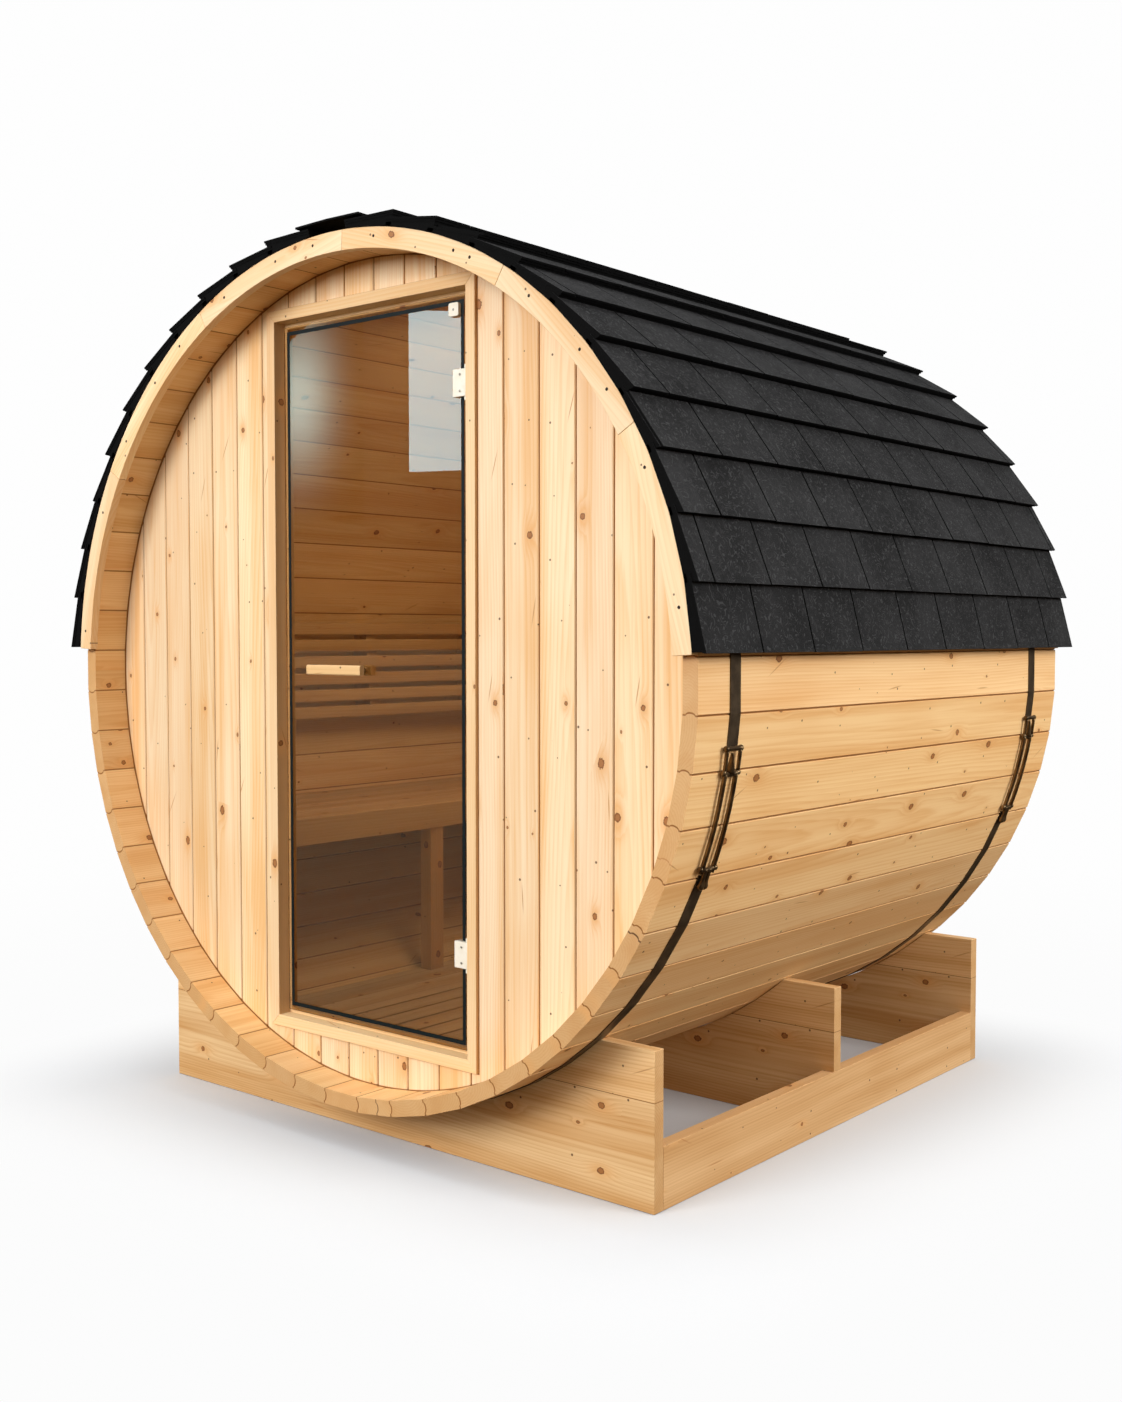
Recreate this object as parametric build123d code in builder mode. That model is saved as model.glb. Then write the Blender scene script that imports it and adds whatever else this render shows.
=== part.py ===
"""Barrel sauna: a stave barrel on a timber cradle, with a glass door, a shingled roof and a bench.

Millimetres. X runs to the right, Y runs into the barrel from its front end, Z is up.
The origin is on the ground, under the middle of the barrel.
Heights named ..._level are measured from the barrel's axis.
"""

import os
from math import ceil, cos, degrees, radians, sin, sqrt

from build123d import *

os.makedirs("parts", exist_ok=True)

# Barrel of flat-faced staves; its radii are to the corners where two staves meet
stave_count = 56
staves_per_section = 7
stave_outer_radius = 1000
stave_thickness = 36
stave_length = 1700
stave_joint_gap = 0.3
stave_edge_chamfer = 3
stave_bead_width = 22
stave_bead_height = 5
stave_bead_facets = 4
groove_depth = 6
ground_clearance = 95

# Clearance between pieces that seat on a curved face
seat_gap = 0.3

# Cradle under the barrel
base_width = 1600
saddle_thickness = 32
saddle_height = 340
rail_height = 135
rail_thickness = 32
front_saddle_setback = 136
rear_saddle_inset = 40
middle_saddle_share = 0.49

# End walls of upright boards
wall_recess = 95
wall_thickness = 42
board_pitch = 100
board_offset = 24
board_groove_width = 7
board_groove_depth = 4

# Door frame and glass door
frame_width = 696
frame_top_gap = 14
frame_bottom_gap = 24
frame_face = 28
frame_stop = 16
frame_depth = 50
frame_stand_off = 8
glass_thickness = 8
glass_setback = 22
glass_edge_gap = 12
stop_gap = 5

# Hinges
hinge_bottom_distance = 217
hinge_top_distance = 195
hinge_clamp_width = 36
hinge_clamp_height = 60
hinge_clamp_thickness = 10
hinge_clamp_inset = 1
hinge_axis_inset = 1.5
hinge_axis_forward = 6
hinge_barrel_radius = 5.5
hinge_pin_radius = 3
hinge_pin_gap = 0.4
hinge_knuckle_height = 8
hinge_knuckle_gap = 1
hinge_leaf_thickness = 4

# Handle and corner block on the glass
handle_length = 188
handle_height = 24
handle_thickness = 14
handle_stand_off = 9
handle_post_radius = 8
handle_edge_distance = 100
handle_edge_chamfer = 3
handle_post_inset = 16
handle_rise = 7
corner_block_size = 30
corner_block_thickness = 9
corner_block_chamfer = 3
corner_block_side_distance = 36
corner_block_top_distance = 33
glass_chamfer = 1

# Edge trim over the stave ends
trim_width = 46
trim_thickness = 22
trim_segments = 6
trim_joint_gap = 0.5
eave_angle = 3.4

# Shingle courses
course_count = 11
course_lip_height = 37
course_lip_thickness = 13
course_top_height = 19
course_overlap_angle = 1.2
eave_lip_thickness = 24
roof_overhang = 5
ridge_half_angle = 4.6
ridge_cap_width = 210
ridge_cap_thickness = 12

# Steel bands and their tensioners
band_width = 28
band_thickness = 2
front_band_setback = 118
rear_band_inset = 168
tensioner_top_angle = -7.0
tensioner_bottom_angle = -21.0
tensioner_link_angle = 2.6
rod_radius = 4.5
rod_spacing = 38
rod_tail_angles = (1.1, 2.5)
rod_nut_radii = (5.8, 6.9)
rod_nut_length = 9
rod_sides = 8
nut_sides = 6
cross_bar_radius = 5
cross_bar_length = 58
link_thickness = 5
link_half_height = 6

# Floor
floor_rise = 112
floor_board_thickness = 24
slat_pitch = 75
slat_gap = 9
slat_count = 5
plank_count = 3
plank_gap = 0.4
floor_notch_gap = 0.5
joist_width = 45
joist_end_distance = 55

# Bench
seat_rise = 474
seat_frame_distance = 47
seat_board_thickness = 28
seat_board_count = 5
seat_board_gap = 5
apron_height = 70
apron_thickness = 28
apron_edge_round = 5
bearer_height = 42
bearer_width = 45
bearer_wall_gap = 2
leg_width = 40
leg_depth = 50
leg_inset = 4
leg_shares = (0.4, 0.71)

# Backrest
backrest_slat_count = 6
backrest_slat_height = 37
backrest_slat_thickness = 18
backrest_pitch = 50.6
backrest_rise = 510
backrest_stand_off = 74
backrest_lean = 4.5
backrest_rib_width = 40
backrest_rib_depth = 90
backrest_rib_shares = (0.08, 0.56, 0.89)
backrest_end_gap = 20

# Worked-out sizes
axis_height = stave_outer_radius + ground_clearance
stave_inner_radius = stave_outer_radius - stave_thickness
stave_pitch_angle = 360 / stave_count
flat_share = cos(radians(stave_pitch_angle / 2))
lining_radius = stave_inner_radius * flat_share - seat_gap
wall_radius = stave_inner_radius + groove_depth - seat_gap
front_end = -stave_length / 2
front_wall_outside = front_end + wall_recess
front_wall_inside = front_wall_outside + wall_thickness
back_wall_outside = -front_wall_outside
back_wall_inside = -front_wall_inside
room_length = back_wall_inside - front_wall_inside
rear_saddle_setback = stave_length - rear_saddle_inset - saddle_thickness
saddle_spacing = rear_saddle_setback - front_saddle_setback
middle_saddle_setback = front_saddle_setback + middle_saddle_share * saddle_spacing
frame_corner_level = sqrt(stave_inner_radius ** 2 - (frame_width / 2) ** 2)
frame_top = frame_corner_level - frame_top_gap
frame_bottom = -frame_corner_level + frame_bottom_gap
frame_height = frame_top - frame_bottom
frame_centre_level = (frame_top + frame_bottom) / 2
frame_front = front_wall_outside - frame_stand_off
glass_front = frame_front + glass_setback
glass_back = glass_front + glass_thickness
frame_inner_width = frame_width - 2 * frame_face
frame_inner_height = frame_height - 2 * frame_face
glass_width = frame_inner_width - 2 * glass_edge_gap
glass_height = frame_inner_height - 2 * glass_edge_gap
glass_top = frame_centre_level + glass_height / 2
glass_bottom = frame_centre_level - glass_height / 2
hinge_levels = (glass_bottom + hinge_bottom_distance, glass_top - hinge_top_distance)
hinge_axis_x = glass_width / 2 + hinge_axis_inset
hinge_axis_y = glass_front - hinge_axis_forward
roof_base_radius = stave_outer_radius + seat_gap + band_thickness + seat_gap
course_lip_radius = stave_outer_radius + course_lip_height
course_top_radius = stave_outer_radius + course_top_height
floor_level = -stave_inner_radius + floor_rise
seat_level = floor_level + seat_rise
seat_front_x = -frame_width / 2 - seat_frame_distance
backrest_top_level = seat_level + backrest_rise
backrest_top_x = -stave_inner_radius + backrest_stand_off


def cross_section(y):
    """Plane across the barrel at y, with its origin on the barrel's axis."""
    return Plane(origin=(0, y, axis_height), x_dir=(1, 0, 0), z_dir=(0, -1, 0))


def on_circle(radius, angle):
    """Point at a radius and an angle in degrees from the right-hand side, in a cross section."""
    return (radius * cos(radians(angle)), radius * sin(radians(angle)))


def save(piece, name):
    """Label a finished piece and write its file."""
    piece.part.label = name
    export_step(piece.part, f"parts/{name}.step")


# Staves: each has a bead on one edge and a cove on the other, and a groove near each end
# that holds the end wall.
half_angle = stave_pitch_angle / 2
side_inset = degrees(stave_joint_gap / 2 / stave_outer_radius)
bead_mid_radius = stave_outer_radius - stave_thickness / 2
bead_rise_angle = degrees(stave_bead_height / bead_mid_radius)

section_names = (
    "staves_right",
    "staves_upper_right",
    "staves_top",
    "staves_upper_left",
    "staves_left",
    "staves_lower_left",
    "staves_bottom",
    "staves_lower_right",
)


def bead_curve(angle):
    """Half ellipse that a bead or cove follows on the side at an angle, from outside to inside."""
    steps = [180 * step / stave_bead_facets for step in range(stave_bead_facets + 1)]
    return [
        on_circle(
            bead_mid_radius + stave_bead_width / 2 * cos(radians(step)),
            angle + bead_rise_angle * sin(radians(step)),
        )
        for step in steps
    ]


def stave_outline(angle):
    """Corners of one stave that is centred on an angle, in order round its outline."""
    low = angle - half_angle + side_inset
    high = angle + half_angle - side_inset
    outer_edge = [on_circle(stave_outer_radius, low), on_circle(stave_outer_radius, high)]
    inner_edge = [on_circle(stave_inner_radius, high), on_circle(stave_inner_radius, low)]
    return outer_edge + bead_curve(high) + inner_edge + bead_curve(low)[::-1]


def stave_section(name, first_angle):
    """A run of neighbouring staves, the first of them centred on first_angle."""
    with BuildPart() as section:
        with BuildSketch(cross_section(front_end)):
            for number in range(staves_per_section):
                with BuildLine():
                    Polyline(*stave_outline(first_angle + number * stave_pitch_angle), close=True)
                make_face()
        extrude(amount=-stave_length)
        outer_edges = section.edges().filter_by(Axis.Y).filter_by(
            lambda edge: abs(sqrt(edge.center().X ** 2 + (edge.center().Z - axis_height) ** 2)
                             - stave_outer_radius) < stave_joint_gap
        )
        chamfer(outer_edges, stave_edge_chamfer)
        for wall_face in (front_wall_outside, back_wall_inside):
            with BuildSketch(cross_section(wall_face - seat_gap)):
                RegularPolygon(stave_inner_radius + groove_depth, stave_count, rotation=half_angle)
                Circle(stave_inner_radius - groove_depth, mode=Mode.SUBTRACT)
            extrude(amount=-wall_thickness - 2 * seat_gap, mode=Mode.SUBTRACT)
    save(section, name)


for index, section_name in enumerate(section_names):
    middle_angle = index * staves_per_section * stave_pitch_angle
    stave_section(section_name, middle_angle - (staves_per_section - 1) / 2 * stave_pitch_angle)


# Cradle: two end saddles that stand on the ground, a middle saddle that is notched over the
# rails, and two rails that butt against the end saddles.
def saddle(name, setback, notched):
    """Upright board across the barrel, with a round seat cut for the staves."""
    with BuildPart() as board:
        with BuildSketch(cross_section(front_end + setback)):
            with Locations((0, -axis_height + saddle_height / 2)):
                Rectangle(base_width, saddle_height)
            Circle(stave_outer_radius + seat_gap, mode=Mode.SUBTRACT)
            if notched:
                for side in (-1, 1):
                    notch_x = side * (base_width / 2 - rail_thickness / 2)
                    with Locations((notch_x, -axis_height + rail_height / 2)):
                        Rectangle(rail_thickness, rail_height, mode=Mode.SUBTRACT)
        extrude(amount=-saddle_thickness)
    save(board, name)


saddle("front_saddle", front_saddle_setback, False)
saddle("middle_saddle", middle_saddle_setback, True)
saddle("rear_saddle", rear_saddle_setback, False)

rail_start = front_end + front_saddle_setback + saddle_thickness
rail_length = rear_saddle_setback - front_saddle_setback - saddle_thickness
for rail_name, side in (("left_rail", -1), ("right_rail", 1)):
    with BuildPart() as rail:
        with BuildSketch(Plane.XZ.offset(-rail_start)):
            with Locations((side * (base_width - rail_thickness) / 2, rail_height / 2)):
                Rectangle(rail_thickness, rail_height)
        extrude(amount=-rail_length)
    save(rail, rail_name)


# End walls: upright boards with a V groove at each joint.
groove_count = 2 * ceil(wall_radius / board_pitch)
with BuildSketch(Plane.XY.offset(axis_height - wall_radius)) as wall_grooves:
    for number in range(groove_count):
        joint_x = board_offset + (number - groove_count // 2) * board_pitch
        for face_y, inward in ((front_wall_outside, 1), (back_wall_outside, -1)):
            with BuildLine():
                Polyline(
                    (joint_x - board_groove_width / 2, face_y),
                    (joint_x + board_groove_width / 2, face_y),
                    (joint_x, face_y + inward * board_groove_depth),
                    close=True,
                )
            make_face()


def wall_panel(name, wall_face, left, right, bottom, top):
    """Part of an end wall, cut to the flats of the groove in the staves."""
    with BuildPart() as panel:
        with BuildSketch(cross_section(wall_face)):
            RegularPolygon(wall_radius, stave_count, rotation=half_angle)
            with Locations(((left + right) / 2, (bottom + top) / 2)):
                Rectangle(right - left, top - bottom, mode=Mode.INTERSECT)
        extrude(amount=-wall_thickness)
        extrude(wall_grooves.sketch, amount=2 * wall_radius, mode=Mode.SUBTRACT)
    save(panel, name)


frame_left = -frame_width / 2
frame_right = frame_width / 2
wall_panel("front_wall_left", front_wall_outside, -wall_radius, frame_left, -wall_radius, wall_radius)
wall_panel("front_wall_right", front_wall_outside, frame_right, wall_radius, -wall_radius, wall_radius)
wall_panel("front_wall_over_door", front_wall_outside, frame_left, frame_right, frame_top, wall_radius)
wall_panel("front_wall_under_door", front_wall_outside, frame_left, frame_right, -wall_radius, frame_bottom)
wall_panel("back_wall", back_wall_inside, -wall_radius, wall_radius, -wall_radius, wall_radius)


# Door frame: four mitred members with a rebate that the glass closes into.
def frame_corner(inset, side, end):
    """Corner of the frame's outline, moved inwards by an inset on both axes."""
    return (side * (frame_width / 2 - inset), frame_centre_level + end * (frame_height / 2 - inset))


def frame_member(name, first, second):
    """Member between two corners of the frame, each corner given as (side, end)."""
    with BuildPart() as member:
        rebate_depth = glass_setback + glass_thickness + stop_gap
        steps = (
            (frame_front, rebate_depth, frame_face),
            (frame_front + rebate_depth, frame_depth - rebate_depth, frame_face + frame_stop),
        )
        for start, depth, width in steps:
            with BuildSketch(cross_section(start)):
                with BuildLine():
                    Polyline(
                        frame_corner(0, *first),
                        frame_corner(0, *second),
                        frame_corner(width, *second),
                        frame_corner(width, *first),
                        close=True,
                    )
                make_face()
            extrude(amount=-depth)
    save(member, name)


frame_member("door_jamb_left", (-1, -1), (-1, 1))
frame_member("door_jamb_right", (1, -1), (1, 1))
frame_member("door_head", (-1, 1), (1, 1))
frame_member("door_sill", (-1, -1), (1, -1))


# Glass door with its handle, hinge clamps and corner block
with BuildPart() as glass:
    with BuildSketch(cross_section(glass_front)):
        with Locations((0, frame_centre_level)):
            Rectangle(glass_width, glass_height)
    extrude(amount=-glass_thickness)
    chamfer(glass.edges().filter_by(Axis.Z), glass_chamfer)
save(glass, "door_glass")

handle_x = -glass_width / 2 + handle_edge_distance + handle_length / 2
handle_level = frame_centre_level + handle_rise
with BuildPart() as handle:
    for face_y, outward in ((glass_front, 1), (glass_back, -1)):
        with BuildSketch(cross_section(face_y)):
            with Locations((handle_x, handle_level)):
                with GridLocations(handle_length - 2 * handle_post_inset, 0, 2, 1):
                    Circle(handle_post_radius)
        extrude(amount=outward * handle_stand_off)
        with BuildSketch(cross_section(face_y - outward * handle_stand_off)):
            with Locations((handle_x, handle_level)):
                Rectangle(handle_length, handle_height)
        extrude(amount=outward * handle_thickness)
    chamfer(handle.edges().filter_by(Axis.X), handle_edge_chamfer)
save(handle, "door_handle")

clamp_left = glass_width / 2 - hinge_clamp_inset - hinge_clamp_width
inner_clamp_width = frame_inner_width / 2 - frame_stop - stop_gap - clamp_left
with BuildPart() as clamps:
    for level in hinge_levels:
        clamp_bottom = axis_height + level - hinge_clamp_height / 2
        with BuildSketch(Plane.XY.offset(clamp_bottom)):
            with Locations((clamp_left, glass_front)):
                Rectangle(hinge_clamp_width, hinge_clamp_thickness, align=(Align.MIN, Align.MAX))
            with Locations((clamp_left, glass_back)):
                Rectangle(inner_clamp_width, hinge_clamp_thickness, align=(Align.MIN, Align.MIN))
            with Locations((hinge_axis_x, hinge_axis_y)):
                Circle(hinge_barrel_radius)
                Circle(hinge_pin_radius + hinge_pin_gap, mode=Mode.SUBTRACT)
        extrude(amount=hinge_clamp_height)
save(clamps, "door_hinge_clamps")

with BuildPart() as corner_block:
    with BuildSketch(cross_section(glass_front)):
        with Locations((glass_width / 2 - corner_block_side_distance, glass_top - corner_block_top_distance)):
            Rectangle(corner_block_size, corner_block_size)
    extrude(amount=corner_block_thickness)
    chamfer(corner_block.edges().filter_by(Axis.Y), corner_block_chamfer)
save(corner_block, "door_corner_block")

leaf_outside = frame_inner_width / 2
leaf_width = 4 * hinge_barrel_radius
with BuildPart() as brackets:
    for level in hinge_levels:
        clamp_bottom = axis_height + level - hinge_clamp_height / 2
        clamp_top = clamp_bottom + hinge_clamp_height
        bracket_bottom = clamp_bottom - hinge_knuckle_gap - hinge_knuckle_height
        bracket_height = hinge_clamp_height + 2 * (hinge_knuckle_gap + hinge_knuckle_height)
        with BuildSketch(Plane.XY.offset(bracket_bottom)):
            with Locations((leaf_outside - hinge_leaf_thickness / 2, hinge_axis_y)):
                Rectangle(hinge_leaf_thickness, leaf_width)
            with Locations((hinge_axis_x, hinge_axis_y)):
                Circle(hinge_pin_radius)
        extrude(amount=bracket_height)
        for knuckle_bottom in (bracket_bottom, clamp_top + hinge_knuckle_gap):
            with BuildSketch(Plane.XY.offset(knuckle_bottom)):
                with Locations((hinge_axis_x, hinge_axis_y)):
                    Circle(hinge_barrel_radius)
                with Locations(((hinge_axis_x + leaf_outside) / 2, hinge_axis_y)):
                    Rectangle(leaf_outside - hinge_axis_x, 2 * hinge_barrel_radius)
            extrude(amount=hinge_knuckle_height)
save(brackets, "door_hinge_brackets")


# Edge trim: curved boards end to end over the ends of the upper staves.
def edge_trim(name, start):
    """Half ring of trim boards against the stave ends."""
    sweep = 180 - 2 * eave_angle
    step = sweep / trim_segments
    outer_radius = stave_outer_radius
    inner_radius = stave_outer_radius - trim_width
    joint = degrees(trim_joint_gap / outer_radius)
    with BuildPart() as trim:
        with BuildSketch(cross_section(start)):
            for number in range(trim_segments):
                low = eave_angle + number * step + joint / 2
                high = low + step - joint
                middle = (low + high) / 2
                with BuildLine():
                    ThreePointArc(on_circle(outer_radius, low), on_circle(outer_radius, middle),
                                  on_circle(outer_radius, high))
                    Line(on_circle(outer_radius, high), on_circle(inner_radius, high))
                    ThreePointArc(on_circle(inner_radius, high), on_circle(inner_radius, middle),
                                  on_circle(inner_radius, low))
                    Line(on_circle(inner_radius, low), on_circle(outer_radius, low))
                make_face()
        extrude(amount=-trim_thickness)
    save(trim, name)


edge_trim("front_trim", front_end - trim_thickness)
edge_trim("rear_trim", -front_end)


# Roof: flat shingle courses that step up each side, and a cap over the ridge.
course_pitch_angle = (90 - ridge_half_angle - eave_angle) / course_count
roof_start = front_end - trim_thickness - roof_overhang
roof_length = -2 * roof_start


def roof_slope(name, side):
    """One side's courses; side is 1 on the right and -1 on the left."""
    with BuildPart() as courses:
        with BuildSketch(cross_section(roof_start)):
            for number in range(course_count):
                low = eave_angle + number * course_pitch_angle
                high = low + course_pitch_angle + course_overlap_angle
                lip = eave_lip_thickness if number == 0 else course_lip_thickness
                corners = (
                    on_circle(course_lip_radius - lip, low),
                    on_circle(course_lip_radius, low),
                    on_circle(course_top_radius, high),
                    on_circle(roof_base_radius, high),
                )
                with BuildLine():
                    Polyline(*((side * x, z) for x, z in corners), close=True)
                make_face()
        extrude(amount=-roof_length)
    save(courses, name)


roof_slope("roof_right", 1)
roof_slope("roof_left", -1)

last_course_low = eave_angle + (course_count - 1) * course_pitch_angle
last_course_high = last_course_low + course_pitch_angle + course_overlap_angle
last_lip_x, last_lip_level = on_circle(course_lip_radius, last_course_low)
last_top_x, last_top_level = on_circle(course_top_radius, last_course_high)
top_course_slope = (last_top_level - last_lip_level) / (last_lip_x - last_top_x)


def cap_seat_level(x):
    """Level of the ridge cap's underside at x, on the slope of the top courses."""
    return last_top_level + (last_top_x - x) * top_course_slope + seat_gap


with BuildPart() as ridge_cap:
    with BuildSketch(cross_section(roof_start)):
        cap_half_width = ridge_cap_width / 2
        edge_level = cap_seat_level(cap_half_width)
        ridge_level = cap_seat_level(0)
        with BuildLine():
            Polyline(
                (cap_half_width, edge_level),
                (cap_half_width, edge_level + ridge_cap_thickness),
                (0, ridge_level + ridge_cap_thickness),
                (-cap_half_width, edge_level + ridge_cap_thickness),
                (-cap_half_width, edge_level),
                (0, ridge_level),
                close=True,
            )
        make_face()
    extrude(amount=-roof_length)
save(ridge_cap, "roof_ridge_cap")


# Bands: a steel strap round the staves, open between the two ends of its tensioner.
strap_inner = stave_outer_radius + seat_gap
strap_outer = strap_inner + band_thickness
strap_loop_inner = cross_bar_radius + seat_gap
strap_loop_outer = strap_loop_inner + band_thickness
bar_centre_radius = strap_inner + strap_loop_outer


def strap_outline(radius):
    """Line round the barrel from bar to bar, with a bend at each corner between two staves."""
    top = tensioner_top_angle
    bottom = tensioner_bottom_angle + 360
    corners = [number * stave_pitch_angle - half_angle for number in range(stave_count)]
    bends = [angle for angle in corners if top < angle < bottom]
    return [on_circle(radius, angle) for angle in [top, *bends, bottom]]


def band(name, setback):
    """Strap whose two ends are rolled into a loop round the tensioner's bars."""
    start_y = front_end + setback - band_width / 2
    with BuildPart() as strap:
        with BuildSketch(cross_section(start_y)):
            with BuildLine():
                Polyline(*strap_outline(strap_outer), *strap_outline(strap_inner)[::-1], close=True)
            make_face()
            with Locations(
                on_circle(bar_centre_radius, tensioner_top_angle),
                on_circle(bar_centre_radius, tensioner_bottom_angle),
            ):
                Circle(strap_loop_outer)
                Circle(strap_loop_inner, mode=Mode.SUBTRACT)
        extrude(amount=-band_width)
    save(strap, name)


def tensioner(name, setback):
    """Two draw rods between cross bars, with a pair of links above and nuts on their ends."""
    centre_y = front_end + setback
    link_bar_angle = tensioner_top_angle - tensioner_link_angle
    with BuildPart() as fitting:
        with BuildSketch(cross_section(centre_y - cross_bar_length / 2)):
            for angle in (tensioner_top_angle, link_bar_angle, tensioner_bottom_angle):
                with Locations(on_circle(bar_centre_radius, angle)):
                    RegularPolygon(cross_bar_radius, rod_sides)
        extrude(amount=-cross_bar_length)
        for side, tail_angle, nut_radius in zip((-1, 1), rod_tail_angles, rod_nut_radii):
            rod_y = centre_y + side * rod_spacing / 2
            rod_end_angle = tensioner_bottom_angle - tail_angle
            with BuildSketch(cross_section(rod_y - link_thickness / 2)):
                with Locations(on_circle(bar_centre_radius, tensioner_top_angle),
                               on_circle(bar_centre_radius, link_bar_angle)):
                    RegularPolygon(link_half_height, rod_sides)
                make_hull()
            extrude(amount=-link_thickness)
            with BuildLine(cross_section(rod_y)) as rod_path:
                middle_angle = (link_bar_angle + rod_end_angle) / 2
                ThreePointArc(on_circle(bar_centre_radius, link_bar_angle),
                              on_circle(bar_centre_radius, middle_angle),
                              on_circle(bar_centre_radius, rod_end_angle))
            with BuildSketch(Plane(origin=rod_path.line @ 0, x_dir=(0, 1, 0), z_dir=rod_path.line % 0)):
                RegularPolygon(rod_radius, rod_sides)
            sweep(path=rod_path.line)
            with BuildSketch(Plane(origin=rod_path.line @ 1, x_dir=(0, 1, 0), z_dir=rod_path.line % 1)):
                RegularPolygon(nut_radius, nut_sides)
            extrude(amount=rod_nut_length / 2, both=True)
    save(fitting, name)


for place, setback in (("front", front_band_setback), ("rear", stave_length - rear_band_inset)):
    band(f"band_{place}", setback)
    tensioner(f"tensioner_{place}", setback)


# Floor: boards laid along the barrel on joists that fit its curve.
slat_width = slat_pitch - slat_gap
slat_field = slat_count * slat_pitch - slat_gap
board_level = floor_level - floor_board_thickness / 2
floor_notch_length = frame_front + frame_depth + floor_notch_gap - front_wall_inside
with BuildSketch(cross_section(front_wall_inside)) as floor_notch:
    with Locations((0, frame_centre_level)):
        Rectangle(frame_width + 2 * floor_notch_gap, frame_height + 2 * floor_notch_gap)

with BuildPart() as slats:
    with BuildSketch(cross_section(front_wall_inside)):
        with Locations((0, board_level)):
            with GridLocations(slat_pitch, 0, slat_count, 1):
                Rectangle(slat_width, floor_board_thickness)
    extrude(amount=-room_length)
    extrude(floor_notch.sketch, amount=-floor_notch_length, mode=Mode.SUBTRACT)
save(slats, "floor_slats")

floor_half_width = sqrt(lining_radius ** 2 - floor_level ** 2)
plank_field_start = slat_field / 2 + slat_gap
plank_width = (floor_half_width - plank_field_start) / plank_count - plank_gap
with BuildPart() as planks:
    with BuildSketch(cross_section(front_wall_inside)):
        for side in (-1, 1):
            for number in range(plank_count):
                plank_x = plank_field_start + number * (plank_width + plank_gap) + plank_width / 2
                with Locations((side * plank_x, board_level)):
                    Rectangle(plank_width, floor_board_thickness)
        Circle(lining_radius, mode=Mode.INTERSECT)
    extrude(amount=-room_length)
    extrude(floor_notch.sketch, amount=-floor_notch_length, mode=Mode.SUBTRACT)
save(planks, "floor_planks")

last_joist_start = back_wall_inside - joist_end_distance - joist_width
with BuildPart() as joists:
    for joist_start in (front_wall_inside + joist_end_distance, -joist_width / 2, last_joist_start):
        with BuildSketch(cross_section(joist_start)):
            Circle(lining_radius)
            with Locations((0, floor_level - floor_board_thickness)):
                Rectangle(2 * lining_radius, lining_radius, align=(Align.CENTER, Align.MAX),
                          mode=Mode.INTERSECT)
        extrude(amount=-joist_width)
save(joists, "floor_joists")


# Bench along the left side: seat boards on bearers, an apron in front, and legs on the floor
# that are cut to the barrel's curve where they reach it.
seat_back_x = -lining_radius
apron_back_x = seat_front_x - apron_thickness
seat_field = apron_back_x - seat_back_x
seat_board_width = seat_field / seat_board_count - seat_board_gap

with BuildPart() as seat:
    with BuildSketch(cross_section(front_wall_inside)):
        for number in range(seat_board_count):
            board_x = apron_back_x - (number + 0.5) * (seat_board_width + seat_board_gap)
            with Locations((board_x, seat_level - seat_board_thickness / 2)):
                Rectangle(seat_board_width, seat_board_thickness)
        Circle(lining_radius, mode=Mode.INTERSECT)
    extrude(amount=-room_length)
save(seat, "bench_seat")

with BuildPart() as apron:
    with BuildSketch(cross_section(front_wall_inside)):
        with Locations((seat_front_x, seat_level)):
            Rectangle(apron_thickness, apron_height, align=(Align.MAX, Align.MAX))
    extrude(amount=-room_length)
    top_front_edge = apron.edges().filter_by(Axis.Y).group_by(Axis.Z)[-1].sort_by(Axis.X)[-1]
    fillet(top_front_edge, apron_edge_round)
save(apron, "bench_apron")

bearer_top = seat_level - seat_board_thickness
leg_starts = [front_wall_inside + share * room_length for share in leg_shares]
bearer_ends = [front_wall_inside + bearer_wall_gap, back_wall_inside - bearer_wall_gap - bearer_width]
with BuildPart() as bearers:
    for bearer_start in leg_starts + bearer_ends:
        with BuildSketch(cross_section(bearer_start)):
            with Locations((apron_back_x, bearer_top)):
                Rectangle(lining_radius, bearer_height, align=(Align.MAX, Align.MAX))
            Circle(lining_radius, mode=Mode.INTERSECT)
        extrude(amount=-bearer_width)
save(bearers, "bench_bearers")

leg_height = seat_level - apron_height - floor_level
with BuildPart() as legs:
    for leg_start in leg_starts:
        with BuildSketch(cross_section(leg_start)):
            with Locations((seat_front_x - leg_inset, floor_level)):
                Rectangle(leg_width, leg_height, align=(Align.MAX, Align.MIN))
            Circle(lining_radius, mode=Mode.INTERSECT)
        extrude(amount=-leg_depth)
save(legs, "bench_legs")


# Backrest: leaning slats on ribs that are cut to the barrel's curve.
backrest_plane = Plane(
    origin=(backrest_top_x, front_wall_inside + backrest_end_gap, axis_height + backrest_top_level),
    x_dir=(cos(radians(backrest_lean)), 0, sin(radians(backrest_lean))),
    z_dir=(0, -1, 0),
)
backrest_height = (backrest_slat_count - 1) * backrest_pitch + backrest_slat_height
with BuildPart() as backrest:
    with BuildSketch(backrest_plane):
        for number in range(backrest_slat_count):
            with Locations((0, -number * backrest_pitch)):
                Rectangle(backrest_slat_thickness, backrest_slat_height, align=(Align.MAX, Align.MAX))
    extrude(amount=-room_length + 2 * backrest_end_gap)
save(backrest, "backrest_slats")

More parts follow.
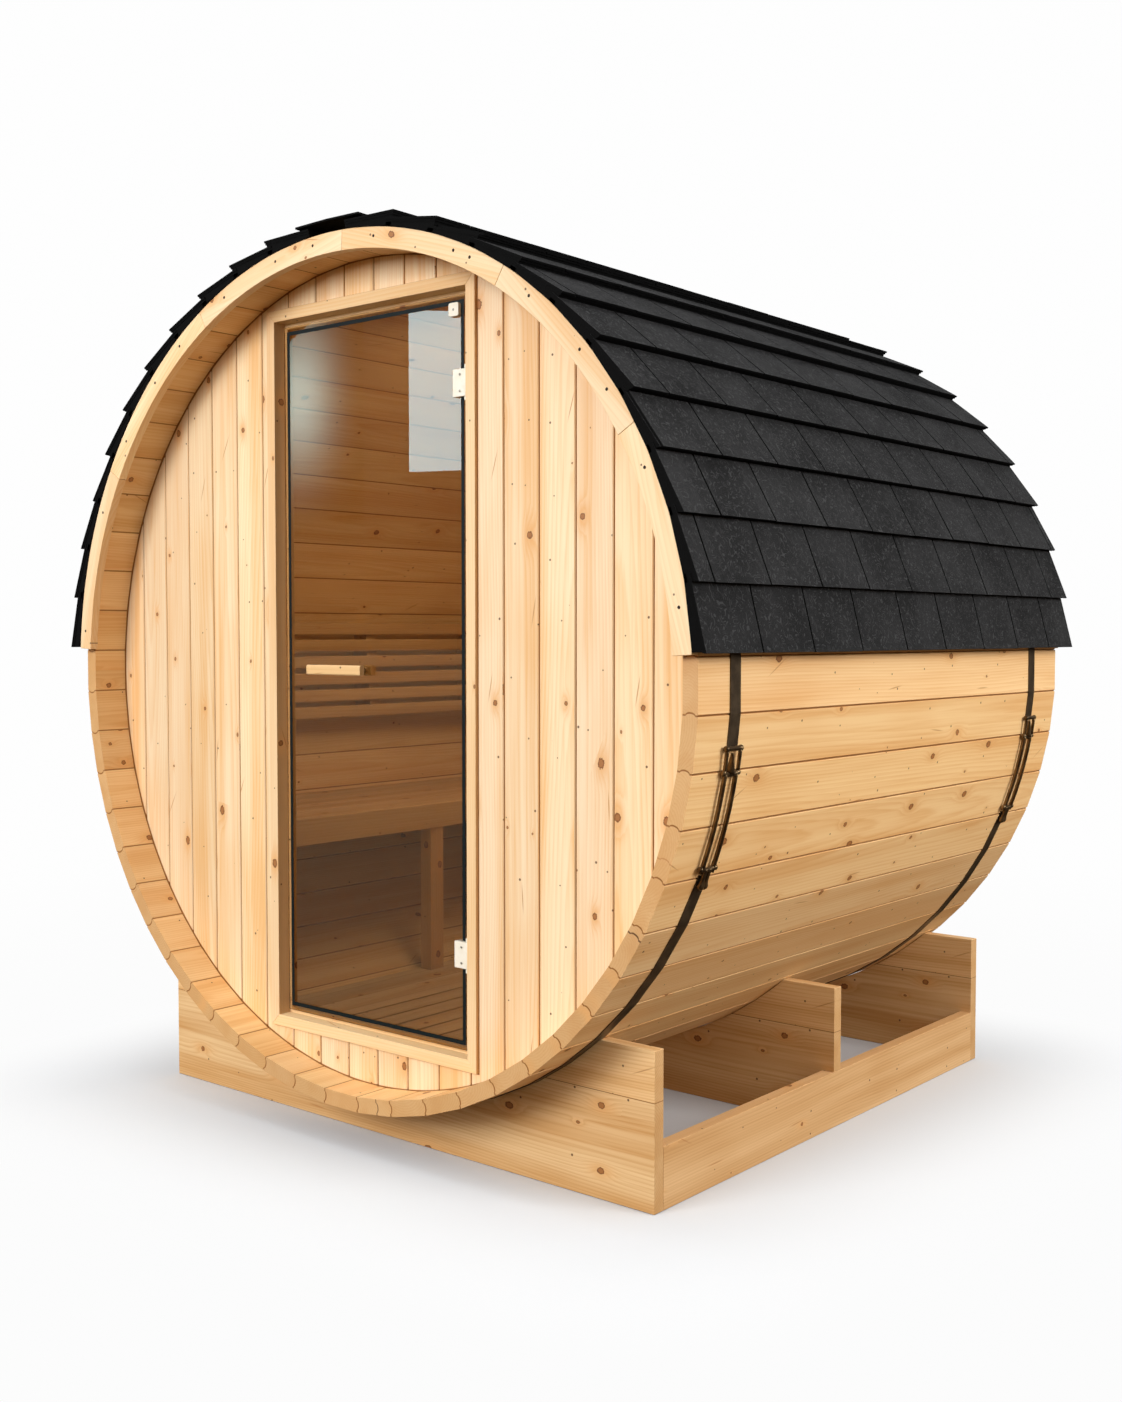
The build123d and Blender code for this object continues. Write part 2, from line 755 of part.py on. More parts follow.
with BuildPart() as ribs:
    for share in backrest_rib_shares:
        rib_start = front_wall_inside + share * room_length
        rib_plane = Plane(
            origin=(backrest_top_x, rib_start, axis_height + backrest_top_level),
            x_dir=backrest_plane.x_dir,
            z_dir=backrest_plane.z_dir,
        )
        with BuildSketch(rib_plane):
            with Locations((-backrest_slat_thickness, 0)):
                Rectangle(backrest_rib_depth, backrest_height, align=(Align.MAX, Align.MAX))
        extrude(amount=-backrest_rib_width)
    with BuildSketch(cross_section(front_wall_inside)):
        Circle(lining_radius)
    extrude(amount=-room_length, mode=Mode.INTERSECT)
save(ribs, "backrest_ribs")
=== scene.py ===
import bmesh
import bpy
import numpy as np
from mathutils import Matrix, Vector


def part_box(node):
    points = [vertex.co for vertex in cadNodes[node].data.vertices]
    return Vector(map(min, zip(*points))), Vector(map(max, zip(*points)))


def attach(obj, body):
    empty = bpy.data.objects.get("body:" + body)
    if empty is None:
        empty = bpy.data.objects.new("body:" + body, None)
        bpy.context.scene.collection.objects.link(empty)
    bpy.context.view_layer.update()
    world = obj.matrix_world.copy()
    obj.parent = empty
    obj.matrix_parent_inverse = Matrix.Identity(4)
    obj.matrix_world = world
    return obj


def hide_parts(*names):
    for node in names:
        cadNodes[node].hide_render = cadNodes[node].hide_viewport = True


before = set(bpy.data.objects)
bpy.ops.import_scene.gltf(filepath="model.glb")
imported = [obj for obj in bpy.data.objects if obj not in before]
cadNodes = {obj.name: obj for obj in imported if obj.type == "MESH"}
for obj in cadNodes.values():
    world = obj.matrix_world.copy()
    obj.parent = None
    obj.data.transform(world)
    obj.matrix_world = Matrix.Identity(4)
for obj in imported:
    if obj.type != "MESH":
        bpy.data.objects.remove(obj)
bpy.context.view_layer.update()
print("frame loaded")

# Metres. X to the right, Y into the barrel, Z up, as in the frame.
barrel = {
    "axisHeight": 1.095,
    "outerRadius": 1.0,
    "innerRadius": 0.964,
    "halfLength": 0.85,
    "staveCount": 56,
    "beadHeight": 0.005,
    "beadWidth": 0.022,
    "jointWidth": 0.0016,
}

# End walls of upright boards. A shade line is painted shade, a dark line where the boards meet the staves and the
# door frame; its pair is where it starts and where it is full.
endWall = {
    "boardWidth": 0.1,
    "firstEdge": 0.024,
    "jointWidth": 0.0014,
    "rearJointWidth": 0.0011,
    "rimShadeLine": (0.0042, 0.0018),
    "frameShadeLine": (0.0036, 0.0014),
    "frameMiddle": 1.10,
    "frameHalf": (0.348, 0.88),
    "staveShadeLine": (0.0026, 0.0012),
    "staveShadeLineDepth": 0.7565,  # from the middle of the barrel, on the inside of the staves
    "staveShadeLineRadius": (0.972, 0.968),
}


# Small helpers for shader trees

def feed(tree, node, inputs):
    # links each socket and sets each plain value
    for key, value in inputs.items():
        if isinstance(value, bpy.types.NodeSocket):
            tree.links.new(value, node.inputs[key])
        else:
            node.inputs[key].default_value = value


def addNode(tree, kind, inputs=None, **settings):
    node = tree.nodes.new("ShaderNode" + kind)
    for name, value in settings.items():
        setattr(node, name, value)
    feed(tree, node, inputs or {})
    return node


def maths(tree, operation, *values):
    return addNode(tree, "Math", dict(enumerate(values)), operation=operation).outputs[0]


def plus(tree, first, second):
    return maths(tree, "ADD", first, second)


def minus(tree, first, second):
    return maths(tree, "SUBTRACT", first, second)


def times(tree, first, second):
    return maths(tree, "MULTIPLY", first, second)


def fade(tree, value, start, end, low=0.0, high=1.0):
    # smooth step from low at start to high at end
    inputs = {"Value": value, "From Min": start, "From Max": end, "To Min": low, "To Max": high}
    return addNode(tree, "MapRange", inputs, interpolation_type="SMOOTHSTEP").outputs["Result"]


def mixColours(tree, factor, first, second, blend="MIX"):
    node = addNode(tree, "Mix", data_type="RGBA", blend_type=blend)
    first, second = (value if isinstance(value, bpy.types.NodeSocket) else (*value, 1) for value in (first, second))
    feed(tree, node, {0: factor, 6: first, 7: second})
    return node.outputs[2]


def combine(tree, x, y, z):
    return addNode(tree, "CombineXYZ", {0: x, 1: y, 2: z}).outputs[0]


def axesOf(tree, kind="Object"):
    # X, Y and Z of the place on the object, or of its normal
    return addNode(tree, "SeparateXYZ", {0: addNode(tree, "TexCoord").outputs[kind]}).outputs


def noise(tree, place, scale, detail=2.0, roughness=0.5):
    node = addNode(tree, "TexNoise", {"Vector": place, "Scale": scale, "Detail": detail, "Roughness": roughness})
    return node.outputs["Fac"]


def stretched(tree, place, x, y, z):
    return addNode(tree, "VectorMath", {0: place, 1: (x, y, z)}, operation="MULTIPLY").outputs[0]


def bumped(tree, height, strength, distance):
    return addNode(tree, "Bump", {"Height": height, "Strength": strength, "Distance": distance}).outputs[0]


def newMaterial(name):
    material = bpy.data.materials.new(name)
    material.use_nodes = True
    tree = material.node_tree
    return material, tree, tree.nodes["Principled BSDF"]


def wear(material, *names):
    # puts a material on CAD nodes
    for name in names:
        mesh = cadNodes[name].data
        mesh.materials.clear()
        mesh.materials.append(material)


# Spruce

spruceLook = {
    "ringSpacing": 0.0058,
    "knotPitch": (0.27, 0.08),  # places for a knot, along and across the board
    "knotRadius": 0.0088,
    "knotShare": 0.72,  # share of the places that have one
    "haloReach": (4.6, 2.1),  # in knot radii
    "pinPitch": (0.14, 0.05),
    "pinRadius": 0.0029,
    "pinShare": 0.34,
    "streakPitch": (0.55, 0.15),
    "streakShare": 0.6,
    "streakLength": 0.042,
    "streakWidth": 0.0022,
    "wideShade": 0.62,
    "fineShade": 0.22,
    "cloudShade": 0.25,
    "knotColour": (0.36, 0.135, 0.035),
    "rimColour": (0.14, 0.042, 0.01),
    "haloColour": (0.78, 0.40, 0.14),
    "pinColour": (0.10, 0.035, 0.011),
    "streakColour": (0.50, 0.21, 0.06),
    # also the jambs' painted side shade
    "endAndShadeColour": (0.55, 0.30, 0.12),
    # also the colour of the painted shade lines round the end walls
    "jointAndShadeColour": (0.34, 0.135, 0.03),
    "roughness": 0.5,
    "specular": 0.35,
    "bump": 0.3,
    "bumpDistance": 0.0006,
}


def scattered(tree, along, across, shift, pitch):
    # one point in each cell of a jittered grid: offset from it in metres, and its own chance
    place = combine(tree, plus(tree, maths(tree, "DIVIDE", along, pitch[0]), shift),
                    plus(tree, maths(tree, "DIVIDE", across, pitch[1]), shift), 0.0)
    cell = addNode(tree, "TexVoronoi", {"Vector": place, "Scale": 1.0, "Randomness": 0.95},
                   voronoi_dimensions="2D", feature="F1")
    gap = addNode(tree, "VectorMath", {0: place, 1: cell.outputs["Position"]}, operation="SUBTRACT").outputs[0]
    offset = addNode(tree, "SeparateXYZ", {0: stretched(tree, gap, pitch[0], pitch[1], 0.0)}).outputs
    return offset[0], offset[1], addNode(tree, "SeparateColor", {0: cell.outputs["Color"]}).outputs


def ellipse(tree, first, second, length, width):
    # distance from a centre, 1 on an ellipse with these half axes
    square = plus(tree, maths(tree, "POWER", maths(tree, "DIVIDE", first, length), 2.0),
                  maths(tree, "POWER", maths(tree, "DIVIDE", second, width), 2.0))
    return maths(tree, "SQRT", square)


def makeSpruceGroup():
    # rings about a pith line beside each board, bent by slow noise and by the knots
    group = bpy.data.node_groups.new("spruceGrain", "ShaderNodeTree")
    face = group.interface
    for name in ("Along", "Across", "Deep", "Board", "End", "JointAndShade", "Rings"):
        face.new_socket(name, in_out="INPUT", socket_type="NodeSocketFloat")
    for name in ("Light", "Dark"):
        face.new_socket(name, in_out="INPUT", socket_type="NodeSocketColor")
    face.new_socket("Colour", in_out="OUTPUT", socket_type="NodeSocketColor")
    face.new_socket("Height", in_out="OUTPUT", socket_type="NodeSocketFloat")
    start = group.nodes.new("NodeGroupInput").outputs
    end = group.nodes.new("NodeGroupOutput")
    along, across, board = (start[name] for name in ("Along", "Across", "Board"))
    deep = maths(group, "PINGPONG", start["Deep"], 0.06)
    look = spruceLook

    # three chances for each board, and noises drawn out along the grain
    chance = addNode(group, "TexWhiteNoise", {"W": board}, noise_dimensions="1D").outputs["Color"]
    one, two, three = addNode(group, "SeparateColor", {0: chance}).outputs[:3]
    shift = times(group, one, 40.0)
    far = plus(group, along, shift)
    place = combine(group, far, plus(group, across, times(group, two, 9.0)), deep)
    bend = minus(group, noise(group, stretched(group, place, 1.1, 5, 5), 1.0, 1.0), 0.5)
    fine = noise(group, stretched(group, place, 4, 160, 160), 1.0, 1.0, 0.6)
    wide = noise(group, stretched(group, place, 0.7, 16, 16), 1.0, 1.0)
    cloud = noise(group, stretched(group, place, 3.5, 7, 7), 1.0, 0.0)

    # knots with a long warm halo
    knotAlong, knotAcross, knotChance = scattered(group, along, across, shift, look["knotPitch"])
    size = fade(group, knotChance[0], 1.0 - look["knotShare"], 1.06, 0.00005, look["knotRadius"])
    long = times(group, size, maths(group, "MULTIPLY_ADD", knotChance[1], 0.6, 0.95))
    knotDistance = ellipse(group, knotAlong, knotAcross, long, size)
    wobble = times(group, minus(group, noise(group, place, 260.0, 0.0), 0.5), 0.5)
    knotDistance = plus(group, knotDistance, wobble)
    reach = ellipse(group, knotAlong, knotAcross, times(group, size, look["haloReach"][0]),
                    times(group, size, look["haloReach"][1]))
    halo = maths(group, "EXPONENT", times(group, maths(group, "POWER", reach, 2.0), -1.0))
    halo = times(group, halo, fade(group, size, 0.0005, 0.006))

    # pin knots
    pinAlong, pinAcross, pinChance = scattered(group, along, across, plus(group, shift, 17.3), look["pinPitch"])
    pinSize = fade(group, pinChance[0], 1.0 - look["pinShare"], 1.06 - look["pinShare"], 0.00005,
                   look["pinRadius"])
    pinSize = times(group, pinSize, maths(group, "MULTIPLY_ADD", pinChance[1], 0.6, 0.5))
    pin = fade(group, ellipse(group, pinAlong, pinAcross, pinSize, pinSize), 1.15, 0.6)

    # short leaning streaks
    markAlong, markAcross, markChance = scattered(group, along, across, plus(group, shift, 31.7),
                                                  look["streakPitch"])
    lean = times(group, minus(group, markChance[1], 0.5), 1.1)
    turnedAcross = minus(group, markAcross, times(group, markAlong, lean))
    streak = ellipse(group, markAlong, turnedAcross, look["streakLength"], look["streakWidth"])
    streak = times(group, fade(group, streak, 1.0, 0.2),
                   fade(group, markChance[0], 1.0 - look["streakShare"], 1.02 - look["streakShare"]))

    # distance from the pith in rings, dark at each ring's late side
    pithAcross = maths(group, "MULTIPLY_ADD", one, 0.18, -0.09)
    pithDeep = maths(group, "MULTIPLY_ADD", two, 0.08, 0.012)
    slope = times(group, minus(group, three, 0.5), times(group, along, 0.045))
    sideways = plus(group, minus(group, across, pithAcross), times(group, bend, 0.045))
    inwards = plus(group, plus(group, deep, pithDeep), slope)
    ring = maths(group, "DIVIDE", ellipse(group, sideways, inwards, 1.0, 1.0), look["ringSpacing"])
    ring = plus(group, ring, times(group, halo, 2.0))
    ring = plus(group, ring, times(group, fine, 0.5))
    step = maths(group, "FRACT", ring)
    late = times(group, maths(group, "POWER", step, 2.0), fade(group, step, 1.0, 0.84))

    contrast = maths(group, "MAXIMUM", start["End"], start["Rings"])
    shade = times(group, late, contrast)
    for cause, low, high, share in ((wide, 0.38, 0.72, look["wideShade"]), (fine, 0.42, 0.75, look["fineShade"]),
                                    (cloud, 0.45, 0.85, look["cloudShade"])):
        shade = plus(group, shade, times(group, fade(group, cause, low, high), share))
    shade = maths(group, "MINIMUM", shade, 1.2)
    colour = mixColours(group, shade, start["Light"], start["Dark"])
    tone = maths(group, "MULTIPLY_ADD", three, 0.15, 0.89)
    warm = maths(group, "MULTIPLY_ADD", two, -0.07, plus(group, tone, 0.02))
    boardTone = combine(group, plus(group, tone, 0.008), tone, warm)
    colour = mixColours(group, 1.0, colour, boardTone, "MULTIPLY")

    # end grain and the jambs' painted side shade, halo, streaks, knots, pins, and joints with the painted shade
    # lines, over the board's own colour
    knot = fade(group, knotDistance, 1.08, 0.86)
    rim = times(group, fade(group, knotDistance, 0.55, 0.92), knot)
    for mark, share, stain in ((start["End"], 0.6, "endAndShadeColour"), (halo, 0.75, "haloColour"),
                               (streak, 0.75, "streakColour"), (knot, 0.9, "knotColour"),
                               (rim, 0.85, "rimColour"), (pin, 0.9, "pinColour")):
        colour = mixColours(group, times(group, mark, share), colour, look[stain])
    # joints, and the painted shade lines round the end walls that come in with them
    colour = mixColours(group, start["JointAndShade"], colour, look["jointAndShadeColour"])
    height = minus(group, times(group, fine, 0.6), start["JointAndShade"])
    feed(group, end, {"Colour": colour, "Height": height})
    return group


spruceGroup = makeSpruceGroup()


def boardNumber(tree, value, pitch, offset):
    # number of the board, place across it, and distance to its nearest edge
    share = maths(tree, "DIVIDE", minus(tree, value, offset), pitch)
    number = maths(tree, "FLOOR", share)
    part = minus(tree, minus(tree, share, number), 0.5)
    edge = times(tree, minus(tree, 0.5, maths(tree, "ABSOLUTE", part)), pitch)
    return number, times(tree, part, pitch), edge


def jointLine(tree, edge, width):
    return fade(tree, edge, width * 1.6, width * 0.6)


def endGrain(tree, normal):
    # 1 where the face looks along the grain
    return fade(tree, maths(tree, "ABSOLUTE", normal), 0.7, 0.9)


def flatBoards(tree, grain="Z", across="X", pitch=0.1, offset=0.0, jointWidth=0.0, seed=0.0, paintedSideShade=0.0):
    # boards side by side from the offset; a narrow face is seen across its depth
    axes = dict(zip("XYZ", axesOf(tree)))
    normal = dict(zip("XYZ", axesOf(tree, "Normal")))
    deep = ({"X", "Y", "Z"} - {grain, across}).pop()
    number, side, edge = boardNumber(tree, axes[across], pitch, offset)
    ends = endGrain(tree, normal[grain])
    joint = jointLine(tree, edge, jointWidth) if jointWidth else 0.0
    edgeOn = fade(tree, maths(tree, "ABSOLUTE", normal[across]), 0.6, 0.8)
    face = addNode(tree, "Mix", {0: edgeOn, 2: side, 3: axes[deep]}).outputs[0]
    inwards = addNode(tree, "Mix", {0: edgeOn, 2: axes[deep], 3: side}).outputs[0]
    number = plus(tree, maths(tree, "MULTIPLY_ADD", edgeOn, 0.37, number), seed)
    # painted shade: the narrow side faces take the end grain's darker colour, as if in shade
    if paintedSideShade:
        ends = maths(tree, "MAXIMUM", ends, times(tree, edgeOn, paintedSideShade))
    return axes[grain], face, inwards, number, ends, joint


def barrelPlace(tree):
    # angle in radians about the barrel's axis, radius, and place along the barrel
    axes = axesOf(tree)
    up = minus(tree, axes[2], barrel["axisHeight"])
    square = plus(tree, maths(tree, "POWER", axes[0], 2.0), maths(tree, "POWER", up, 2.0))
    return maths(tree, "ARCTAN2", up, axes[0]), maths(tree, "SQRT", square), axes[1]


def wallBoards(tree, seed):
    # painted shade: a dark line round the barrel's inside and round the door frame, where the boards meet them,
    # drawn as the joints are
    along, side, deep, number, ends, joint = flatBoards(
        tree, pitch=endWall["boardWidth"], offset=endWall["firstEdge"], jointWidth=endWall["jointWidth"], seed=seed)
    axes = axesOf(tree)
    radius = barrelPlace(tree)[1]
    rim = fade(tree, radius, *(barrel["innerRadius"] - gap for gap in endWall["rimShadeLine"]))
    beside = minus(tree, maths(tree, "ABSOLUTE", axes[0]), endWall["frameHalf"][0])
    above = maths(tree, "ABSOLUTE", minus(tree, axes[2], endWall["frameMiddle"]))
    above = minus(tree, above, endWall["frameHalf"][1])
    frameShadeLine = fade(tree, maths(tree, "MAXIMUM", beside, above), *endWall["frameShadeLine"])
    joint = maths(tree, "MAXIMUM", joint, maths(tree, "MAXIMUM", rim, frameShadeLine))
    return along, side, deep, number, ends, joint


def staveBoards(tree, seed):
    # the joint line swings out by half an ellipse, as the bead does
    angle, radius, along = barrelPlace(tree)
    middle = (barrel["outerRadius"] + barrel["innerRadius"]) / 2
    pitchAngle = 2 * np.pi / barrel["staveCount"]
    share = maths(tree, "DIVIDE", minus(tree, radius, middle), barrel["beadWidth"] / 2)
    bulge = maths(tree, "MAXIMUM", minus(tree, 1.0, maths(tree, "POWER", share, 2.0)), 0.0)
    bulge = times(tree, maths(tree, "SQRT", bulge), barrel["beadHeight"] / middle)
    number, side, edge = boardNumber(tree, minus(tree, angle, bulge), pitchAngle, -pitchAngle / 2)
    ends = endGrain(tree, axesOf(tree, "Normal")[1])
    # painted shade: a dark line on the staves' inside where they meet the end walls, drawn as the joints are
    wallShadeLine = minus(tree, maths(tree, "ABSOLUTE", along), endWall["staveShadeLineDepth"])
    wallShadeLine = times(tree, fade(tree, maths(tree, "ABSOLUTE", wallShadeLine), *endWall["staveShadeLine"]),
                    fade(tree, radius, *endWall["staveShadeLineRadius"]))
    joint = maths(tree, "MAXIMUM", jointLine(tree, edge, barrel["jointWidth"]), wallShadeLine)
    return along, side, radius, plus(tree, number, seed), ends, joint


def ownBoards(tree, seed):
    # a new piece carries its board number and its place along, across and into the board
    grain = addNode(tree, "Attribute", attribute_name="grainPlace").outputs["Vector"]
    axes = addNode(tree, "SeparateXYZ", {0: grain}).outputs
    number = addNode(tree, "Attribute", attribute_name="boardNumber").outputs["Fac"]
    return axes[0], axes[1], axes[2], plus(tree, number, seed), 0.0, 0.0


# light and dark of the grain, and how strongly the rings show
tones = {
    "staves": ((0.94, 0.63, 0.31), (0.80, 0.44, 0.17), 0.62),
    "walls": ((0.955, 0.755, 0.50), (0.85, 0.51, 0.225), 0.5),
    "frame": ((0.93, 0.68, 0.40), (0.84, 0.52, 0.24), 0.45),
    "trim": ((0.95, 0.74, 0.47), (0.85, 0.53, 0.25), 0.45),
    "saddles": ((0.93, 0.64, 0.34), (0.68, 0.36, 0.13), 0.55),
    "rails": ((0.80, 0.51, 0.25), (0.60, 0.32, 0.12), 0.5),
    "floor": ((0.80, 0.56, 0.31), (0.64, 0.38, 0.17), 0.45),
    "bench": ((0.80, 0.54, 0.28), (0.66, 0.37, 0.15), 0.45),
    "handle": ((0.84, 0.57, 0.29), (0.70, 0.41, 0.17), 0.45),
}


def spruce(name, tone, boards, **layout):
    light, dark, rings = tones[tone]
    material, tree, shader = newMaterial(name)
    grain = addNode(tree, "Group")
    grain.node_tree = spruceGroup
    feed(tree, grain, dict(zip(("Along", "Across", "Deep", "Board", "End", "JointAndShade"), boards(tree, **layout))))
    feed(tree, grain, {"Rings": rings, "Light": (*light, 1), "Dark": (*dark, 1)})
    bump = bumped(tree, grain.outputs["Height"], spruceLook["bump"], spruceLook["bumpDistance"])
    feed(tree, shader, {"Base Color": grain.outputs["Colour"], "Normal": bump,
                        "Roughness": spruceLook["roughness"], "Specular IOR Level": spruceLook["specular"]})
    return material


# CAD nodes of each wood, and its boards: axis of the grain, axis across, pitch and an edge in metres
woods = {
    "staves": ([name for name in cadNodes if name.startswith("staves")], "staves", staveBoards, {"seed": 300.0}),
    "wallBoards": (["front_wall_left", "front_wall_right", "front_wall_over_door", "front_wall_under_door"],
                   "walls", wallBoards, {"seed": 20.0}),
    "backWallBoards": (["back_wall"], "walls", flatBoards,
                       {"pitch": endWall["boardWidth"], "offset": endWall["firstEdge"],
                        "jointWidth": endWall["rearJointWidth"], "seed": 71.0}),
    "jambs": (["door_jamb_left", "door_jamb_right"], "frame", flatBoards,
              {"pitch": 0.5, "offset": -0.25, "seed": 114.0, "paintedSideShade": 1.3}),
    "headAndSill": (["door_head", "door_sill"], "frame", flatBoards,
                    {"grain": "X", "across": "Z", "pitch": 0.5, "offset": 0.15, "seed": 131.0}),
    "saddles": (["front_saddle", "middle_saddle", "rear_saddle"], "saddles", flatBoards,
                {"grain": "X", "across": "Z", "pitch": 0.232, "jointWidth": 0.0008, "seed": 171.0}),
    "rails": (["left_rail", "right_rail"], "rails", flatBoards,
              {"grain": "Y", "across": "Z", "pitch": 0.2, "seed": 190.0}),
    "floorSlats": (["floor_slats"], "floor", flatBoards,
                   {"grain": "Y", "pitch": 0.075, "offset": -0.0375, "seed": 210.0}),
    "floorPlanks": (["floor_planks"], "floor", flatBoards,
                    {"grain": "Y", "pitch": 0.0848, "offset": 0.186, "jointWidth": 0.0009, "seed": 230.0}),
    "joists": (["floor_joists", "bench_bearers"], "floor", flatBoards,
               {"grain": "X", "across": "Y", "pitch": 0.3, "seed": 250.0}),
    "seatBoards": (["bench_seat"], "bench", flatBoards,
                   {"grain": "Y", "pitch": 0.1081, "offset": -0.9637, "jointWidth": 0.0009, "seed": 260.0}),
    "apron": (["bench_apron"], "bench", flatBoards,
              {"grain": "Y", "across": "Z", "pitch": 0.3, "offset": 0.6, "seed": 272.0}),
    "backrestSlats": (["backrest_slats"], "bench", flatBoards,
                      {"grain": "Y", "across": "Z", "pitch": 0.0506, "offset": 1.2285, "seed": 280.0}),
    "legs": (["bench_legs", "backrest_ribs"], "bench", flatBoards,
             {"grain": "Z", "across": "Y", "pitch": 0.3, "seed": 290.0}),
    "handle": (["door_handle"], "handle", flatBoards,
               {"grain": "X", "across": "Z", "pitch": 0.3, "offset": 1.0, "seed": 298.0}),
}
for name, (members, tone, boards, layout) in woods.items():
    wear(spruce(name, tone, boards, **layout), *members)
print("wood done")


# Meshes from numpy arrays

def meshPiece(name, verts, faces, material, slot, body="cabin", smooth=False):
    mesh = bpy.data.meshes.new(name)
    mesh.from_pydata(verts.tolist(), [], faces.tolist())
    mesh.materials.append(material)
    if smooth:
        # each ring that is drawn in to a point becomes one vertex
        merged = bmesh.new()
        merged.from_mesh(mesh)
        bmesh.ops.remove_doubles(merged, verts=merged.verts, dist=0.000001)
        merged.to_mesh(mesh)
        merged.free()
        mesh.shade_smooth()
    piece = bpy.data.objects.new(name, mesh)
    bpy.context.scene.collection.objects.link(piece)
    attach(piece, body)
    return piece


def storeGrain(piece, place, board):
    # the wood's own place for each vertex: along, across and into the board, and its board
    attribute = piece.data.attributes.new("grainPlace", "FLOAT_VECTOR", "POINT")
    attribute.data.foreach_set("vector", np.asarray(place, np.float32).ravel())
    attribute = piece.data.attributes.new("boardNumber", "FLOAT", "POINT")
    attribute.data.foreach_set("value", np.asarray(board, np.float32).ravel())


def soften(piece, width, weld=True):
    # rounded edges; a CAD node's loose triangles are welded first
    if weld:
        piece.modifiers.new("weld", "WELD").merge_threshold = 0.00002
    bevel = piece.modifiers.new("bevel", "BEVEL")
    bevel.width = width
    bevel.segments = 2
    bevel.limit_method = "ANGLE"
    bevel.angle_limit = np.radians(40)
    bevel.harden_normals = True


def joined(parts):
    # several (verts, faces) pairs as one
    offsets = np.cumsum([0] + [len(verts) for verts, _ in parts[:-1]])
    return (np.concatenate([verts for verts, _ in parts]),
            np.concatenate([faces + offset for (_, faces), offset in zip(parts, offsets)]))


def outward(verts, faces):
    # the faces turned round if the volume they enclose comes out negative
    corners = (verts - verts.mean(0))[faces]
    volume = (np.cross(corners[:, 0], corners[:, 1]) * corners[:, 2]
              + np.cross(corners[:, 0], corners[:, 2]) * corners[:, 3]).sum()
    return verts, faces if volume > 0 else faces[:, ::-1]


def strip(sections, loop=False, caps=()):
    # quads between a row of sections (n, m, 3), each a closed outline of m points; caps are quads
    # over the first outline, and the same turned round close the last one
    count, sides = sections.shape[:2]
    here = np.arange(count * sides).reshape(count, sides)
    ahead = np.roll(here, -1, 0) if loop else here[1:]
    here = here if loop else here[:-1]
    quads = np.stack([here, ahead, np.roll(ahead, -1, 1), np.roll(here, -1, 1)], -1).reshape(-1, 4)
    if len(caps):
        first = np.array(caps)
        quads = np.concatenate([quads, first, first[:, ::-1] + (count - 1) * sides])
    return outward(sections.reshape(-1, 3), quads)


def tube(points, radii, up=(0, 1, 0), sides=14, flat=1.0):
    # ring of points round each place on a path: p + r (cos t side + flat sin t out),
    # with the ends drawn in to a point
    points = np.asarray(points, float)
    radii = np.broadcast_to(np.asarray(radii, float), len(points))
    ahead = np.gradient(points, axis=0)
    ahead /= np.linalg.norm(ahead, axis=1)[:, None]
    side = np.cross(ahead, np.broadcast_to(up, points.shape))
    side /= np.linalg.norm(side, axis=1)[:, None]
    out = np.cross(ahead, side)
    turn = np.linspace(0, 2 * np.pi, sides, endpoint=False)
    ring = (points[:, None] + radii[:, None, None] * (np.cos(turn)[None, :, None] * side[:, None]
            + flat * np.sin(turn)[None, :, None] * out[:, None]))
    ring = np.concatenate([np.broadcast_to(points[:1, None], (1, sides, 3)), ring,
                           np.broadcast_to(points[-1:, None], (1, sides, 3))])
    return strip(ring)


def domes(middles, radius, rise):
    # low closed domes that stand out along Y: rings at the share d of the radius from each
    # middle rise by 1 - d squared of the rise, over a flat base
    share = np.array([0.0, 1.0, 0.8, 0.45, 0.0])[:, None]
    height = np.where(np.arange(len(share)) > 0, 1 - share[:, 0] ** 2, 0)[:, None]
    turn = np.linspace(0, 2 * np.pi, 12, endpoint=False)
    offset = np.stack(np.broadcast_arrays(radius * share * np.cos(turn), rise * height,
                                          radius * share * np.sin(turn)), -1)
    return joined([strip(middle + offset) for middle in middles])


def onBarrel(radius, angle, y):
    # points at a radius, an angle in degrees and a place along the barrel
    radius, angle, y = np.broadcast_arrays(np.asarray(radius, float), np.radians(angle), np.asarray(y, float))
    return np.stack([radius * np.cos(angle), y, barrel["axisHeight"] + radius * np.sin(angle)], -1)


# Edge trim: curved boards end to end, with a screw near each end. Angles in degrees from the right.

trim = {
    "innerRadius": 0.954,
    "outerRadius": 1.0,
    "thickness": 0.022,
    "jointGap": 0.0007,
    "edgeRound": 0.0012,
    "steps": 25,
    "grainRadius": 0.97,
    "frontJoints": (3.4, 30.2, 58.0, 87.3, 117.9, 148.4, 176.6),
    "rearJoints": (3.4, 32.27, 61.13, 90.0, 118.87, 147.73, 176.6),
    "firstRearBoard": 10,
    "frontScrews": (8.7, 25.0, 35.6, 41.9, 52.4, 63.6, 66.6, 81.3, 93.0, 100.7, 112.3, 124.1, 131.7, 142.6,
                    154.8, 173.8),
    "rearScrews": (5.0, 24.0),  # after each joint
    "screwCircle": 0.98,
    "screwRadius": 0.0036,
    "screwRise": 0.0005,
}


